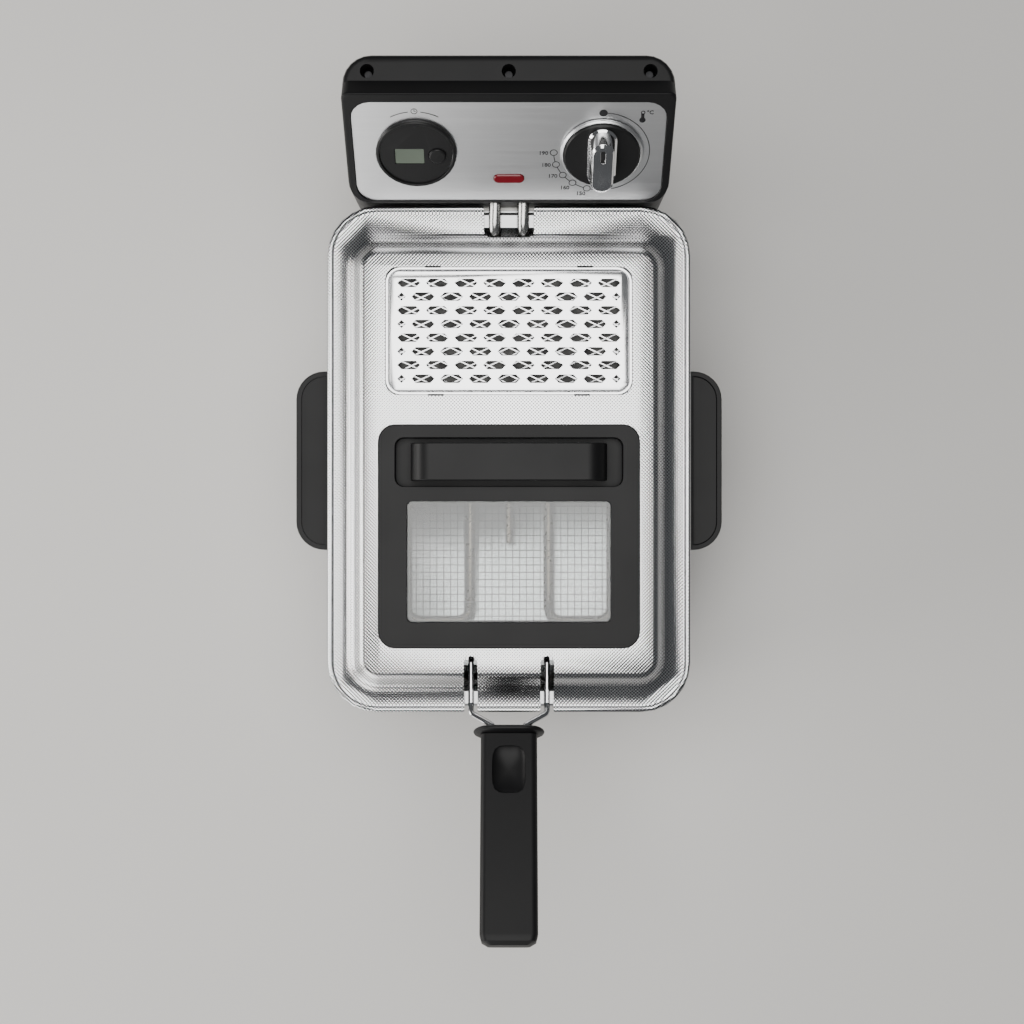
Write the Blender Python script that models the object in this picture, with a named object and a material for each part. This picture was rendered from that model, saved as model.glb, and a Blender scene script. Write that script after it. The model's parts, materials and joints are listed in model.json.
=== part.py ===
"""Deep fryer with a lift-off embossed lid, a wire basket, a removable oil bowl and a clip-on control unit.

Frame: +Z up, front towards -Y, origin on the ground under the middle of the whole object. Metres.
Everything hangs from the empty fryer_frame, in which y = 0 is the middle of the lid.
"""

import math

import bmesh
import bpy
from mathutils import Matrix, Vector

MM = 0.001
GAP = 0.3 * MM  # clearance between two pieces that touch

# --- driving dimensions -------------------------------------------------------------------------
LID_WIDTH = 251 * MM
LID_LENGTH = 350 * MM
LID_CORNER = 34 * MM
LID_SHEET = 1.2 * MM
RIM_Z = 200 * MM  # top of the lid's flat rim
PLATEAU_RISE = 11 * MM
SIDE_RIM = 27 * MM  # lid edge to raised plateau, at the sides
FRONT_RIM = 28.5 * MM
REAR_RIM = 35.5 * MM
SKIRT_DROP = 6 * MM

HOUSING_INSET = 3 * MM  # lid edge to housing wall
HOUSING_SHEET = 1.5 * MM
HOUSING_TOP_DROP = 9 * MM  # lid rim to the housing's top edge
TRAY_TOP_Z = 28 * MM
TRAY_WALL = 3 * MM
TRAY_LIP = 10 * MM  # how far the tray reaches up inside the housing

FOOT_HEIGHT = 10 * MM
FOOT_RADIUS = 11 * MM
FOOT_STEM_RADIUS = 4 * MM
FOOT_INSET = 30 * MM  # housing wall to foot centre

BOWL_OPENING_INSET = 15 * MM  # lid edge to the bowl's opening
BOWL_FLANGE = 9.5 * MM
BOWL_SHEET = 1.5 * MM
BOWL_DEPTH = 143 * MM
BOWL_TAPER = 2 * MM
BOWL_CORNER = 22 * MM
BOWL_FLOOR_RADIUS = 12 * MM

BASKET_SIDE_ROOM = 11.5 * MM  # bowl wall to basket, at the sides
BASKET_FRONT_ROOM = 29 * MM
BASKET_REAR_ROOM = 11.5 * MM  # basket to the element's legs
BASKET_CORNER = 24 * MM
BASKET_WALL = 2.4 * MM
BASKET_DEPTH = 92 * MM
BASKET_TOP_DROP = 5 * MM  # housing's top edge to the basket's
BASKET_TAPER = 6 * MM
BASKET_RIM_RADIUS = 2 * MM

WIRE_RADIUS = 2.1 * MM
WIRE_SPREAD = 26.3 * MM  # half the distance between the handle wires at the slots
WIRE_GRIP_SPREAD = 10.7 * MM  # the same where they enter the grip
SLOT_WIDTH = 9.4 * MM
SLOT_LENGTH = 40 * MM

GRIP_LENGTH = 146 * MM
GRIP_WIDTH = 38.5 * MM
GRIP_THICKNESS = 21 * MM
GRIP_END_ROUND = 5 * MM
GRIP_TILT = math.radians(22)
GRIP_ROOM = 11 * MM  # lid edge to the start of the grip
GRIP_START_RISE = 6 * MM  # lid rim to the start of the grip
GUARD_WIDTH = 49 * MM
GUARD_HEIGHT = 30 * MM
GUARD_THICKNESS = 5 * MM

UNIT_WIDTH = 218 * MM
UNIT_ROOM = 1.2 * MM  # lid edge to the control unit
UNIT_DEPTH = 86 * MM
UNIT_DROP = 88 * MM  # lid rim to the unit's underside
UNIT_WALL = 2.5 * MM
UNIT_REAR_CORNER = 19 * MM
UNIT_FRONT_CORNER = 12 * MM
FASCIA_BOTTOM_RISE = 6.5 * MM  # lid rim to the fascia's lower edge
FASCIA_TILT = math.radians(50)
FASCIA_WIDTH = 207 * MM
FASCIA_LENGTH = 82.5 * MM
FASCIA_CORNER = 13 * MM
FASCIA_SHEET = 1 * MM
DIAL_OFFSET = 62 * MM  # timer and knob centres, left and right of the middle

TIMER_RADIUS = 27 * MM
KNOB_RADIUS = 25.6 * MM
KNOB_RING = 2.1 * MM
KNOB_GRIP_LENGTH = 47 * MM
KNOB_GRIP_WIDTH = 19.4 * MM
KNOB_GRIP_HEIGHT = 13.5 * MM
LENS_WIDTH = 20.8 * MM
LENS_HEIGHT = 7 * MM

ELEMENT_RADIUS = 4 * MM
ELEMENT_SPREAD = 9.8 * MM
ELEMENT_LEG_ROOM = 2.5 * MM  # bowl wall to the element's legs
ELEMENT_RIM_ROOM = 2.7 * MM  # bowl flange to the element's tube
ELEMENT_FLOOR_ROOM = 10.2 * MM  # bowl floor to the element's tube
NOTCH_SIDE_ROOM = 3.7 * MM  # element's tubes to the sides of the lid's notch
NOTCH_END_ROOM = 10 * MM

FILTER_WIDTH = 169.5 * MM
FILTER_LENGTH = 88 * MM
FILTER_SETBACK = 87.5 * MM  # lid's rear edge to the filter's middle
FILTER_CORNER = 9 * MM
FILTER_PLATE_GAP = 2.6 * MM
INSERT_WIDTH = 179.5 * MM
INSERT_LENGTH = 153.5 * MM
INSERT_SETBACK = 121.8 * MM  # lid's front edge to the insert's middle
INSERT_CORNER = 11.6 * MM
WINDOW_WIDTH = 139.5 * MM
WINDOW_LENGTH = 82.6 * MM
WINDOW_SETBACK = 17.4 * MM  # insert's middle to the window's, forwards
WELL_WIDTH = 156 * MM
WELL_LENGTH = 33.5 * MM
WELL_SETBACK = 50.8 * MM  # insert's middle to the well's, rearwards
BAR_SPAN = 134 * MM
BAR_DEPTH = 25.5 * MM

EAR_LENGTH = 127 * MM
EAR_REACH = 28.5 * MM
EAR_DROP = 27 * MM  # housing's top edge to the side handles' tops
EAR_HEIGHT = 24 * MM
EAR_CORNER = 20 * MM

# --- sizes that follow -------------------------------------------------------------------------
HOUSING_TOP_Z = RIM_Z - HOUSING_TOP_DROP
HOUSING_WIDTH = LID_WIDTH - 2 * HOUSING_INSET
HOUSING_LENGTH = LID_LENGTH - 2 * HOUSING_INSET
HOUSING_CORNER = LID_CORNER - HOUSING_INSET
BOWL_WIDTH = LID_WIDTH - 2 * BOWL_OPENING_INSET
BOWL_LENGTH = LID_LENGTH - 2 * BOWL_OPENING_INSET
FLANGE_Z = HOUSING_TOP_Z + GAP  # underside of the bowl's flange
FLANGE_TOP_Z = FLANGE_Z + BOWL_SHEET
PLATEAU_Z = RIM_Z + PLATEAU_RISE
INSERT_TOP_Z = PLATEAU_Z + 1.5 * MM
TRAY_BOTTOM_Z = FOOT_HEIGHT + GAP
UNIT_FRONT_Y = LID_LENGTH / 2 + UNIT_ROOM
UNIT_BOTTOM_Z = RIM_Z - UNIT_DROP
FASCIA_BOTTOM_Z = RIM_Z + FASCIA_BOTTOM_RISE
GRIP_START_Y = -LID_LENGTH / 2 - GRIP_ROOM
GRIP_START_Z = RIM_Z + GRIP_START_RISE
ELEMENT_LEG_Y = BOWL_LENGTH / 2 - ELEMENT_LEG_ROOM - ELEMENT_RADIUS
ELEMENT_TOP_Z = FLANGE_TOP_Z + ELEMENT_RIM_ROOM + ELEMENT_RADIUS
BOWL_FLOOR_Z = FLANGE_TOP_Z - BOWL_DEPTH
ELEMENT_FLOOR_Z = BOWL_FLOOR_Z + ELEMENT_FLOOR_ROOM + ELEMENT_RADIUS
BASKET_WIDTH = BOWL_WIDTH - 2 * BASKET_SIDE_ROOM
BASKET_FRONT_Y = BASKET_FRONT_ROOM - BOWL_LENGTH / 2
BASKET_REAR_Y = ELEMENT_LEG_Y - ELEMENT_RADIUS - BASKET_REAR_ROOM
BASKET_TOP_Z = HOUSING_TOP_Z - BASKET_TOP_DROP
FILTER_CENTRE_Y = LID_LENGTH / 2 - FILTER_SETBACK
INSERT_CENTRE_Y = INSERT_SETBACK - LID_LENGTH / 2
WINDOW_CENTRE_Y = INSERT_CENTRE_Y - WINDOW_SETBACK
WELL_CENTRE_Y = INSERT_CENTRE_Y + WELL_SETBACK
EAR_TOP_Z = HOUSING_TOP_Z - EAR_DROP
BASKET_LENGTH = BASKET_REAR_Y - BASKET_FRONT_Y
BASKET_CENTRE_Y = (BASKET_REAR_Y + BASKET_FRONT_Y) / 2
BASKET_BOTTOM_Z = BASKET_TOP_Z - BASKET_DEPTH
FASCIA_RUN = FASCIA_LENGTH * math.cos(FASCIA_TILT)
FASCIA_RISE = FASCIA_LENGTH * math.sin(FASCIA_TILT)
FASCIA_FRONT_Y = UNIT_FRONT_Y + 1.3 * MM
UNIT_REAR_Y = UNIT_FRONT_Y + UNIT_DEPTH
NOTCH_WIDTH = 2 * (ELEMENT_SPREAD + ELEMENT_RADIUS + NOTCH_SIDE_ROOM)
NOTCH_DEPTH = NOTCH_END_ROOM + 3 * ELEMENT_RADIUS
GRIP_REACH = (
    -GRIP_START_Y
    + GRIP_LENGTH * math.cos(GRIP_TILT)
    + (GRIP_THICKNESS / 2 - GRIP_END_ROUND) * math.sin(GRIP_TILT)
)
SHIFT_Y = (GRIP_REACH - UNIT_REAR_Y) / 2  # puts the whole object's middle on the origin


# Side handles
EAR_LIP = 3.6 * MM
EAR_ROOT = 8 * MM  # solid part of a side handle next to the housing
EAR_SCREW_Y = 45 * MM

# Hanger rail
RAIL_WIDTH = 120 * MM
RAIL_DEPTH = 8 * MM
RAIL_SHEET = 1.5 * MM
RAIL_BOTTOM_Z = UNIT_BOTTOM_Z + 1 * MM
RAIL_TOP_Z = HOUSING_TOP_Z - 5 * MM
RAIL_MOUTH = 92 * MM
RAIL_SCREW_Z = 150 * MM

# Control unit, details
UNIT_TOP_Z = 267 * MM
BEZEL_DEPTH = 12 * MM
BEZEL_CORNER = 5 * MM
BEZEL_RAISE = 1.5 * MM
BEZEL_TOP_LIP = 7.5 * MM
BEZEL_BOTTOM_LIP = 2 * MM
BEZEL_LEDGE = 6 * MM
RECESS_WIDTH = RAIL_WIDTH + 8 * MM
TONGUE_PLAY = 0.5 * MM
RECESS_Y = HOUSING_LENGTH / 2 + RAIL_DEPTH + 2.7 * MM
RECESS_TOP_Z = HOUSING_TOP_Z - 3 * MM
WELL_SPREAD = 92.5 * MM
WELL_Y = UNIT_REAR_Y - 11.2 * MM
WELLS = ((-WELL_SPREAD, WELL_Y), (0, WELL_Y), (WELL_SPREAD, WELL_Y))
WELL_RADIUS = 4.6 * MM
WELL_FLOOR_Z = UNIT_TOP_Z - 13 * MM
UNDERSIDE_Y = UNIT_REAR_Y - 26.2 * MM  # gland and reset button
GLAND_PLACE = (-62 * MM, UNDERSIDE_Y)
RESET_PLACE = (62 * MM, UNDERSIDE_Y)
RESET_RADIUS = 4 * MM
TERMINAL_X = (-60 * MM, -20 * MM)
TERMINAL_Y = (UNIT_REAR_Y - 54.2 * MM, UNIT_REAR_Y - 36.2 * MM)
TERMINAL_HEIGHT = 14 * MM
SWITCH_X = (20 * MM, 40 * MM)
SWITCH_Y = (UNIT_REAR_Y - 57.2 * MM, UNIT_REAR_Y - 41.2 * MM)
SWITCH_HEIGHT = 28 * MM

# Timer, button, shaft and lens
TIMER_RIM = 2.3 * MM
TIMER_BODY_RADIUS = 23 * MM
TIMER_RAISE = 3.4 * MM
DISPLAY_WIDTH = 19.3 * MM
DISPLAY_HEIGHT = 12 * MM
DISPLAY_PLACE = (-4.3 * MM, -2.1 * MM)
BUTTON_RADIUS = 5.8 * MM
BUTTON_PLACE = (14.2 * MM, -1.3 * MM)
BUTTON_TRAVEL = 1 * MM
SHAFT_RADIUS = 3 * MM
LENS_PLACE = (0, 19.1 * MM - FASCIA_LENGTH / 2)

# Basket bracket, wire and grip details
BRACKET_WIDTH = 66 * MM
BRACKET_DEPTH = 10 * MM
BRACKET_LOW_Z = 158 * MM
BRACKET_HIGH_Z = 174 * MM
WIRE_Y = BASKET_FRONT_Y - 7 * MM
WIRE_REST_Z = FLANGE_TOP_Z + 0.5 * MM + WIRE_RADIUS
WIRE_INSIDE_GRIP = 32 * MM
THUMB_LENGTH = 33 * MM
THUMB_WIDTH = 23 * MM
THUMB_START = 8.6 * MM  # from the finger guard
THUMB_DEPTH = 4.5 * MM
THUMB_SQUARENESS = 4  # 2 is an ellipse
GRIP_EDGE = 4.5 * MM
GRIP_SCREW_AT = 100 * MM

# Lid slope: a small step at its foot, then a ramp eased into the rim and the plateau
GROOVE_END = 13.2 * MM  # lid edge to the end of the flat rim
GROOVE_DROP = 1 * MM
STEP_RISE = 0.9 * MM
RAMP_INSET = 15 * MM
RAMP_STEPS = 8
RAMP_ROUNDING = 0.6  # 0 is a straight ramp, 1 one that starts and ends level
GROOVE_INSET = 14.5 * MM
REAR_GROOVE = 6 * MM  # how much wider the rim is at the rear
PLATEAU_CORNER = 9 * MM

# Filter and insert details
FILTER_SLOT_LENGTH = 15.7 * MM
FILTER_SLOT_WIDTH = 5.8 * MM
FILTER_SLOT_PITCH = 19.6 * MM
FILTER_ROW_PITCH = 9.37 * MM
FILTER_ROWS = 8
FILTER_COLUMNS = 8
FILTER_SHEET = 1.2 * MM
FILTER_FLOOR_Z = 192 * MM
FILTER_MESH_Z = 204.5 * MM
INSERT_FLANGE = 2.2 * MM
INSERT_LOW_Z = 203 * MM
PANE_THICKNESS = 3 * MM
PANE_MARGIN = 3.5 * MM
SEAL_THICKNESS = 2.6 * MM
WELL_FLOOR = 201.5 * MM
BAR_TOP_Z = 228 * MM
BAR_THICKNESS = 7 * MM


def material(name, colour, roughness, metallic=0.0):
    made = bpy.data.materials.new(name)
    made.use_nodes = True
    shader = made.node_tree.nodes["Principled BSDF"]
    shader.inputs["Base Color"].default_value = (*colour, 1)
    shader.inputs["Roughness"].default_value = roughness
    shader.inputs["Metallic"].default_value = metallic
    return made


def clear_scene():
    for old in list(bpy.data.objects):
        bpy.data.objects.remove(old, do_unlink=True)


def empty(name, location=(0, 0, 0), parent=None):
    made = bpy.data.objects.new(name, None)
    bpy.context.scene.collection.objects.link(made)
    made.parent = parent
    made.location = location
    return made


def finish(name, bm, look, parent, location=(0, 0, 0), rotation=(0, 0, 0)):
    """Turns the bmesh into an object that faces outwards, smooth up to 35 degrees."""
    bmesh.ops.recalc_face_normals(bm, faces=bm.faces)
    mesh = bpy.data.meshes.new(name)
    bm.to_mesh(mesh)
    bm.free()
    mesh.shade_smooth()
    mesh.set_sharp_from_angle(angle=math.radians(35))
    mesh.materials.append(look)
    made = bpy.data.objects.new(name, mesh)
    bpy.context.scene.collection.objects.link(made)
    made.parent = parent
    made.location = location
    made.rotation_euler = rotation
    return made


def rounded_rectangle(width, length, corner, centre=(0, 0), steps=5):
    """Outline points, anticlockwise, with each corner an arc."""
    corner = max(min(corner, width / 2 - 1e-5, length / 2 - 1e-5), 1e-5)
    points = []
    for turn in range(4):
        sx = (1, -1, -1, 1)[turn]
        sy = (1, 1, -1, -1)[turn]
        middle = (centre[0] + sx * (width / 2 - corner), centre[1] + sy * (length / 2 - corner))
        for step in range(steps + 1):
            angle = math.pi / 2 * (turn + step / steps)
            points.append(
                (middle[0] + corner * math.cos(angle), middle[1] + corner * math.sin(angle))
            )
    return points


def circle(radius, centre=(0, 0), steps=32):
    return [
        (
            centre[0] + radius * math.cos(2 * math.pi * step / steps),
            centre[1] + radius * math.sin(2 * math.pi * step / steps),
        )
        for step in range(steps)
    ]


def loft(rings, closed=False):
    """Skins a stack of (outline, z) rings; the ends are capped unless the stack closes on itself."""
    bm = bmesh.new()
    loops = [[bm.verts.new((x, y, z)) for x, y in outline] for outline, z in rings]
    pairs = list(zip(loops, loops[1:]))
    if closed:
        pairs.append((loops[-1], loops[0]))
    for low, high in pairs:
        for i in range(len(low)):
            j = (i + 1) % len(low)
            bm.faces.new((low[i], low[j], high[j], high[i]))
    if not closed:
        bm.faces.new(loops[0])
        bm.faces.new(loops[-1])
    return bm


def prism(outline, low, high):
    return loft([(outline, low), (outline, high)])


def tube(points, radius, sides=8):
    """A round bar along the points, with flat ends and one frame carried along it."""
    bm = bmesh.new()
    points = [Vector(p) for p in points]
    tangents = []
    for i in range(len(points)):
        before = points[max(i - 1, 0)]
        after = points[min(i + 1, len(points) - 1)]
        tangents.append((after - before).normalized())
    side = tangents[0].orthogonal().normalized()
    loops = []
    for point, tangent in zip(points, tangents):
        side = (side - tangent * side.dot(tangent)).normalized()
        up = tangent.cross(side)
        ring = []
        for k in range(sides):
            angle = 2 * math.pi * k / sides
            ring.append(bm.verts.new(point + radius * (math.cos(angle) * side + math.sin(angle) * up)))
        loops.append(ring)
    for low, high in zip(loops, loops[1:]):
        for i in range(sides):
            j = (i + 1) % sides
            bm.faces.new((low[i], low[j], high[j], high[i]))
    bm.faces.new(loops[0])
    bm.faces.new(loops[-1])
    return bm


def rounded_path(corners, radius, steps=4):
    """The corner points of a route with each inner corner replaced by an arc of this radius."""
    corners = [Vector(c) for c in corners]
    path = [corners[0]]
    for before, here, after in zip(corners, corners[1:], corners[2:]):
        a = (before - here).normalized()
        b = (after - here).normalized()
        half = a.angle(b) / 2
        if math.pi / 2 - half < 1e-3:
            path.append(here)
            continue
        reach = radius / math.tan(half)
        centre = here + (a + b).normalized() * (radius / math.sin(half))
        start = here + a * reach - centre
        end = here + b * reach - centre
        turn = start.angle(end)
        for step in range(steps + 1):
            t = step / steps
            path.append(
                centre
                + start * (math.sin((1 - t) * turn) / math.sin(turn))
                + end * (math.sin(t * turn) / math.sin(turn))
            )
    path.append(corners[-1])
    return path


def cut(target, cutter_bm, operation="DIFFERENCE"):
    """Boolean of the target with a hidden cutter given in the target's own coordinates."""
    name = f"{target.name}_cutter{len(target.modifiers)}"
    cutter = finish(name, cutter_bm, target.data.materials[0], target)
    cutter.hide_render = True
    cutter.display_type = "WIRE"
    made = target.modifiers.new("cut", "BOOLEAN")
    made.operation = operation
    made.solver = "EXACT"
    made.object = cutter
    return cutter


def screw(name, look, parent, location, rotation=(0, 0, 0), head=4.2 * MM, shank=1.8 * MM, length=12 * MM):
    """A pan-head screw pointing down its own -Z, with its head's underside at the location."""
    rings = [
        (circle(shank, steps=12), -length),
        (circle(shank, steps=12), 0),
        (circle(head, steps=12), 0),
        (circle(head, steps=12), 1.4 * MM),
        (circle(head * 0.6, steps=12), 2.2 * MM),
    ]
    return finish(name, loft(rings), look, parent, location, rotation)


# --- body --------------------------------------------------------------------------------------
def housing_ring(inset, z):
    outline = rounded_rectangle(
        HOUSING_WIDTH - 2 * inset, HOUSING_LENGTH - 2 * inset, HOUSING_CORNER - inset
    )
    return (outline, z)


def build_housing(looks, frame):
    """A sheet shell, open below, whose top edge turns in to carry the bowl's flange."""
    turn_in = HOUSING_INSET + 4.5 * MM
    bottom = TRAY_TOP_Z + GAP
    inner = HOUSING_SHEET
    shell = finish(
        "outer_housing",
        loft(
            [
                housing_ring(0, bottom),
                housing_ring(0, HOUSING_TOP_Z - 2 * MM),
                housing_ring(0.6 * MM, HOUSING_TOP_Z - 0.6 * MM),
                housing_ring(2 * MM, HOUSING_TOP_Z),
                housing_ring(turn_in, HOUSING_TOP_Z),
                housing_ring(turn_in, HOUSING_TOP_Z - inner),
                housing_ring(2 * MM, HOUSING_TOP_Z - inner),
                housing_ring(inner, HOUSING_TOP_Z - 2 * MM - inner),
                housing_ring(inner, bottom),
            ],
            closed=True,
        ),
        looks["steel"],
        frame,
    )
    for x, y, z, _side in ear_screw_places():
        hole = tube([(x - 30 * MM, y, z), (x + 30 * MM, y, z)], 2.3 * MM, 12)
        cut(shell, hole)
    wall = HOUSING_LENGTH / 2
    cut(shell, tube([(0, wall - 8 * MM, RAIL_SCREW_Z), (0, wall + 8 * MM, RAIL_SCREW_Z)], 2.3 * MM, 12))
    return shell


def build_tray(looks, frame):
    """The black bottom: a shallow tray with a step that the housing's lower edge stands on."""
    step = HOUSING_SHEET + GAP
    inner = step + TRAY_WALL
    floor = TRAY_BOTTOM_Z + TRAY_WALL
    tray = finish(
        "base_tray",
        loft(
            [
                housing_ring(3 * MM, TRAY_BOTTOM_Z),
                housing_ring(0, TRAY_BOTTOM_Z + 3 * MM),
                housing_ring(0, TRAY_TOP_Z),
                housing_ring(step, TRAY_TOP_Z),
                housing_ring(step, TRAY_TOP_Z + TRAY_LIP),
                housing_ring(inner, TRAY_TOP_Z + TRAY_LIP),
                housing_ring(inner, floor),
            ]
        ),
        looks["black"],
        frame,
    )
    for x, y in foot_places():
        hole = prism(circle(FOOT_STEM_RADIUS + GAP, (x, y), 16), TRAY_BOTTOM_Z - 5 * MM, floor + 5 * MM)
        cut(tray, hole)
    return tray


def foot_places():
    x = HOUSING_WIDTH / 2 - FOOT_INSET
    y = HOUSING_LENGTH / 2 - FOOT_INSET
    return [(-x, -y), (x, -y), (-x, y), (x, y)]


def build_feet(looks, frame):
    names = ("front_left", "front_right", "rear_left", "rear_right")
    for name, (x, y) in zip(names, foot_places()):
        rings = [
            (circle(FOOT_RADIUS - 2 * MM, steps=16), 0),
            (circle(FOOT_RADIUS, steps=16), 2 * MM),
            (circle(FOOT_RADIUS, steps=16), FOOT_HEIGHT),
            (circle(FOOT_STEM_RADIUS, steps=16), FOOT_HEIGHT),
            (circle(FOOT_STEM_RADIUS, steps=16), TRAY_BOTTOM_Z + TRAY_WALL + 3 * MM),
        ]
        finish(f"foot_{name}", loft(rings), looks["rubber"], frame, (x, y, 0))


def ear_screw_places():
    places = []
    for side in (-1, 1):
        for y in (-EAR_SCREW_Y, EAR_SCREW_Y):
            places.append((side * HOUSING_WIDTH / 2, y, EAR_TOP_Z - EAR_HEIGHT / 2, side))
    return places


def ear_outline(side, inset=0.0):
    """Half of a rounded plate, flat against the housing wall and round outwards."""
    wall = HOUSING_WIDTH / 2 + GAP
    far = wall + EAR_REACH - inset
    half = EAR_LENGTH / 2 - inset
    corner = min(EAR_CORNER, EAR_REACH - EAR_ROOT) - inset
    points = [(wall + (EAR_ROOT if inset else 0), -half)]
    for turn, sign in ((-1, -1), (0, 1)):
        centre = (far - corner, sign * (half - corner))
        for step in range(9):
            angle = math.pi / 2 * (turn + step / 8)
            points.append((centre[0] + corner * math.cos(angle), centre[1] + corner * math.sin(angle)))
    points.append((wall + (EAR_ROOT if inset else 0), half))
    return [(side * x, y) for x, y in points]


def build_ears(looks, frame):
    """Carrying handles: a plate with a raised lip above and a finger pocket below."""
    low = EAR_TOP_Z - EAR_HEIGHT
    for side, name in ((-1, "left"), (1, "right")):
        ear = finish(
            f"side_handle_{name}",
            loft(
                [
                    (ear_outline(side), low),
                    (ear_outline(side), EAR_TOP_Z),
                ]
            ),
            looks["black"],
            frame,
        )
        cut(ear, prism(ear_outline(side, EAR_LIP), EAR_TOP_Z - 1.5 * MM, EAR_TOP_Z + 5 * MM))
        cut(ear, prism(ear_outline(side, EAR_LIP), low - 5 * MM, EAR_TOP_Z - 6 * MM))
        for x, y, z, at in ear_screw_places():
            if at == side:
                deep = side * (EAR_ROOT - 1.5 * MM)
                cut(ear, tube([(x - side * 5 * MM, y, z), (x + deep, y, z)], 2.3 * MM, 12))
    for number, (x, y, z, side) in enumerate(ear_screw_places(), 1):
        inner = x - side * (HOUSING_SHEET + GAP)
        screw(
            f"handle_screw_{number}",
            looks["zinc"],
            frame,
            (inner, y, z),
            (0, -side * math.pi / 2, 0),
            length=HOUSING_SHEET + 2 * GAP + EAR_ROOT - 3 * MM,
        )


def box(width, length, low, high, centre=(0, 0), corner=0.0, steps=4):
    if corner:
        return prism(rounded_rectangle(width, length, corner, centre, steps), low, high)
    x, y = centre
    w = width / 2
    d = length / 2
    return prism([(x - w, y - d), (x + w, y - d), (x + w, y + d), (x - w, y + d)], low, high)


def span_box(xs, ys, zs):
    """A block from its two ends along each axis."""
    centre = ((xs[0] + xs[1]) / 2, (ys[0] + ys[1]) / 2)
    return box(xs[1] - xs[0], ys[1] - ys[0], zs[0], zs[1], centre)


def build_rail(looks, frame):
    """The C-shaped channel on the housing's rear wall that the control unit hangs in."""
    near = HOUSING_LENGTH / 2 + GAP
    far = near + RAIL_DEPTH
    half = RAIL_WIDTH / 2
    rail = finish(
        "hanger_rail",
        span_box((-half, half), (near, far), (RAIL_BOTTOM_Z, RAIL_TOP_Z)),
        looks["steel"],
        frame,
    )
    inside = half - RAIL_SHEET
    floor = RAIL_BOTTOM_Z + RAIL_SHEET
    above = RAIL_TOP_Z + 5 * MM
    cut(rail, span_box((-inside, inside), (near + RAIL_SHEET, far - RAIL_SHEET), (floor, above)))
    mouth = RAIL_MOUTH / 2
    cut(rail, span_box((-mouth, mouth), (far - RAIL_SHEET - 1 * MM, far + 2 * MM), (floor, above)))
    cut(rail, tube([(0, near - 2 * MM, RAIL_SCREW_Z), (0, near + 3 * MM, RAIL_SCREW_Z)], 2.3 * MM, 12))
    inner = HOUSING_LENGTH / 2 - HOUSING_SHEET - GAP
    screw(
        "rail_screw",
        looks["zinc"],
        frame,
        (0, inner, RAIL_SCREW_Z),
        (math.pi / 2, 0, 0),
        length=HOUSING_SHEET + 2 * GAP + RAIL_SHEET - 0.4 * MM,
    )


# --- bowl --------------------------------------------------------------------------------------
def bowl_ring(inset, z, corner):
    return (rounded_rectangle(BOWL_WIDTH - 2 * inset, BOWL_LENGTH - 2 * inset, corner, steps=6), z)


def build_bowl(looks, frame):
    """Deep-drawn bowl: rounded floor, nearly straight walls, a flat flange with a turned-down edge."""
    body = empty("bowl_lift", (0, 0, FLANGE_Z), frame)
    top = FLANGE_TOP_Z - FLANGE_Z
    floor = top - BOWL_DEPTH
    sheet = BOWL_SHEET
    bend = BOWL_FLOOR_RADIUS
    side = BOWL_TAPER
    rings = [
        bowl_ring(side + bend, floor - sheet, BOWL_CORNER),
        bowl_ring(side + bend * 0.25 - sheet, floor - sheet + bend * 0.25, BOWL_CORNER),
        bowl_ring(side - sheet, floor + bend, BOWL_CORNER),
        bowl_ring(-sheet, 0, BOWL_CORNER),
        bowl_ring(-BOWL_FLANGE, 0, BOWL_CORNER + BOWL_FLANGE),
        bowl_ring(-BOWL_FLANGE, top, BOWL_CORNER + BOWL_FLANGE),
        bowl_ring(-1 * MM, top, BOWL_CORNER),
        bowl_ring(0, top - 1 * MM, BOWL_CORNER),
        bowl_ring(side, floor + bend, BOWL_CORNER - sheet),
        bowl_ring(side + bend * 0.25, floor + bend * 0.25, BOWL_CORNER - sheet),
        bowl_ring(side + bend, floor, BOWL_CORNER - sheet),
    ]
    finish("oil_bowl", loft(rings), looks["steel"], body)
    return body


# --- control unit ------------------------------------------------------------------------------


def fascia_frame(parent):
    """An empty in the middle of the fascia: +X right, +Y up the slope, +Z out of the panel."""
    made = empty(
        "fascia_frame",
        (0, FASCIA_FRONT_Y + FASCIA_RUN / 2, FASCIA_BOTTOM_Z + FASCIA_RISE / 2),
        parent,
    )
    made.rotation_euler = (FASCIA_TILT, 0, 0)
    return made


def to_slope(bm):
    """Moves a mesh given in the fascia's frame into the control unit's."""
    spot = Vector((0, FASCIA_FRONT_Y + FASCIA_RUN / 2, FASCIA_BOTTOM_Z + FASCIA_RISE / 2))
    turn = Matrix.Translation(spot) @ Matrix.Rotation(FASCIA_TILT, 4, "X")
    bmesh.ops.transform(bm, matrix=turn, verts=bm.verts)
    return bm


def unit_outline(inset=0.0):
    """Plan of the control unit, with rounded corners, larger at the rear."""
    half = UNIT_WIDTH / 2 - inset
    points = []
    for turn, side, y, corner in (
        (0, 1, UNIT_REAR_Y, UNIT_REAR_CORNER),
        (1, -1, UNIT_REAR_Y, UNIT_REAR_CORNER),
        (2, -1, UNIT_FRONT_Y, UNIT_FRONT_CORNER),
        (3, 1, UNIT_FRONT_Y, UNIT_FRONT_CORNER),
    ):
        radius = corner - inset
        towards = 1 if turn < 2 else -1
        centre = (side * (half - radius), y - towards * (inset + radius))
        for step in range(7):
            angle = math.pi / 2 * (turn + step / 6)
            points.append((centre[0] + radius * math.cos(angle), centre[1] + radius * math.sin(angle)))
    return points


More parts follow.
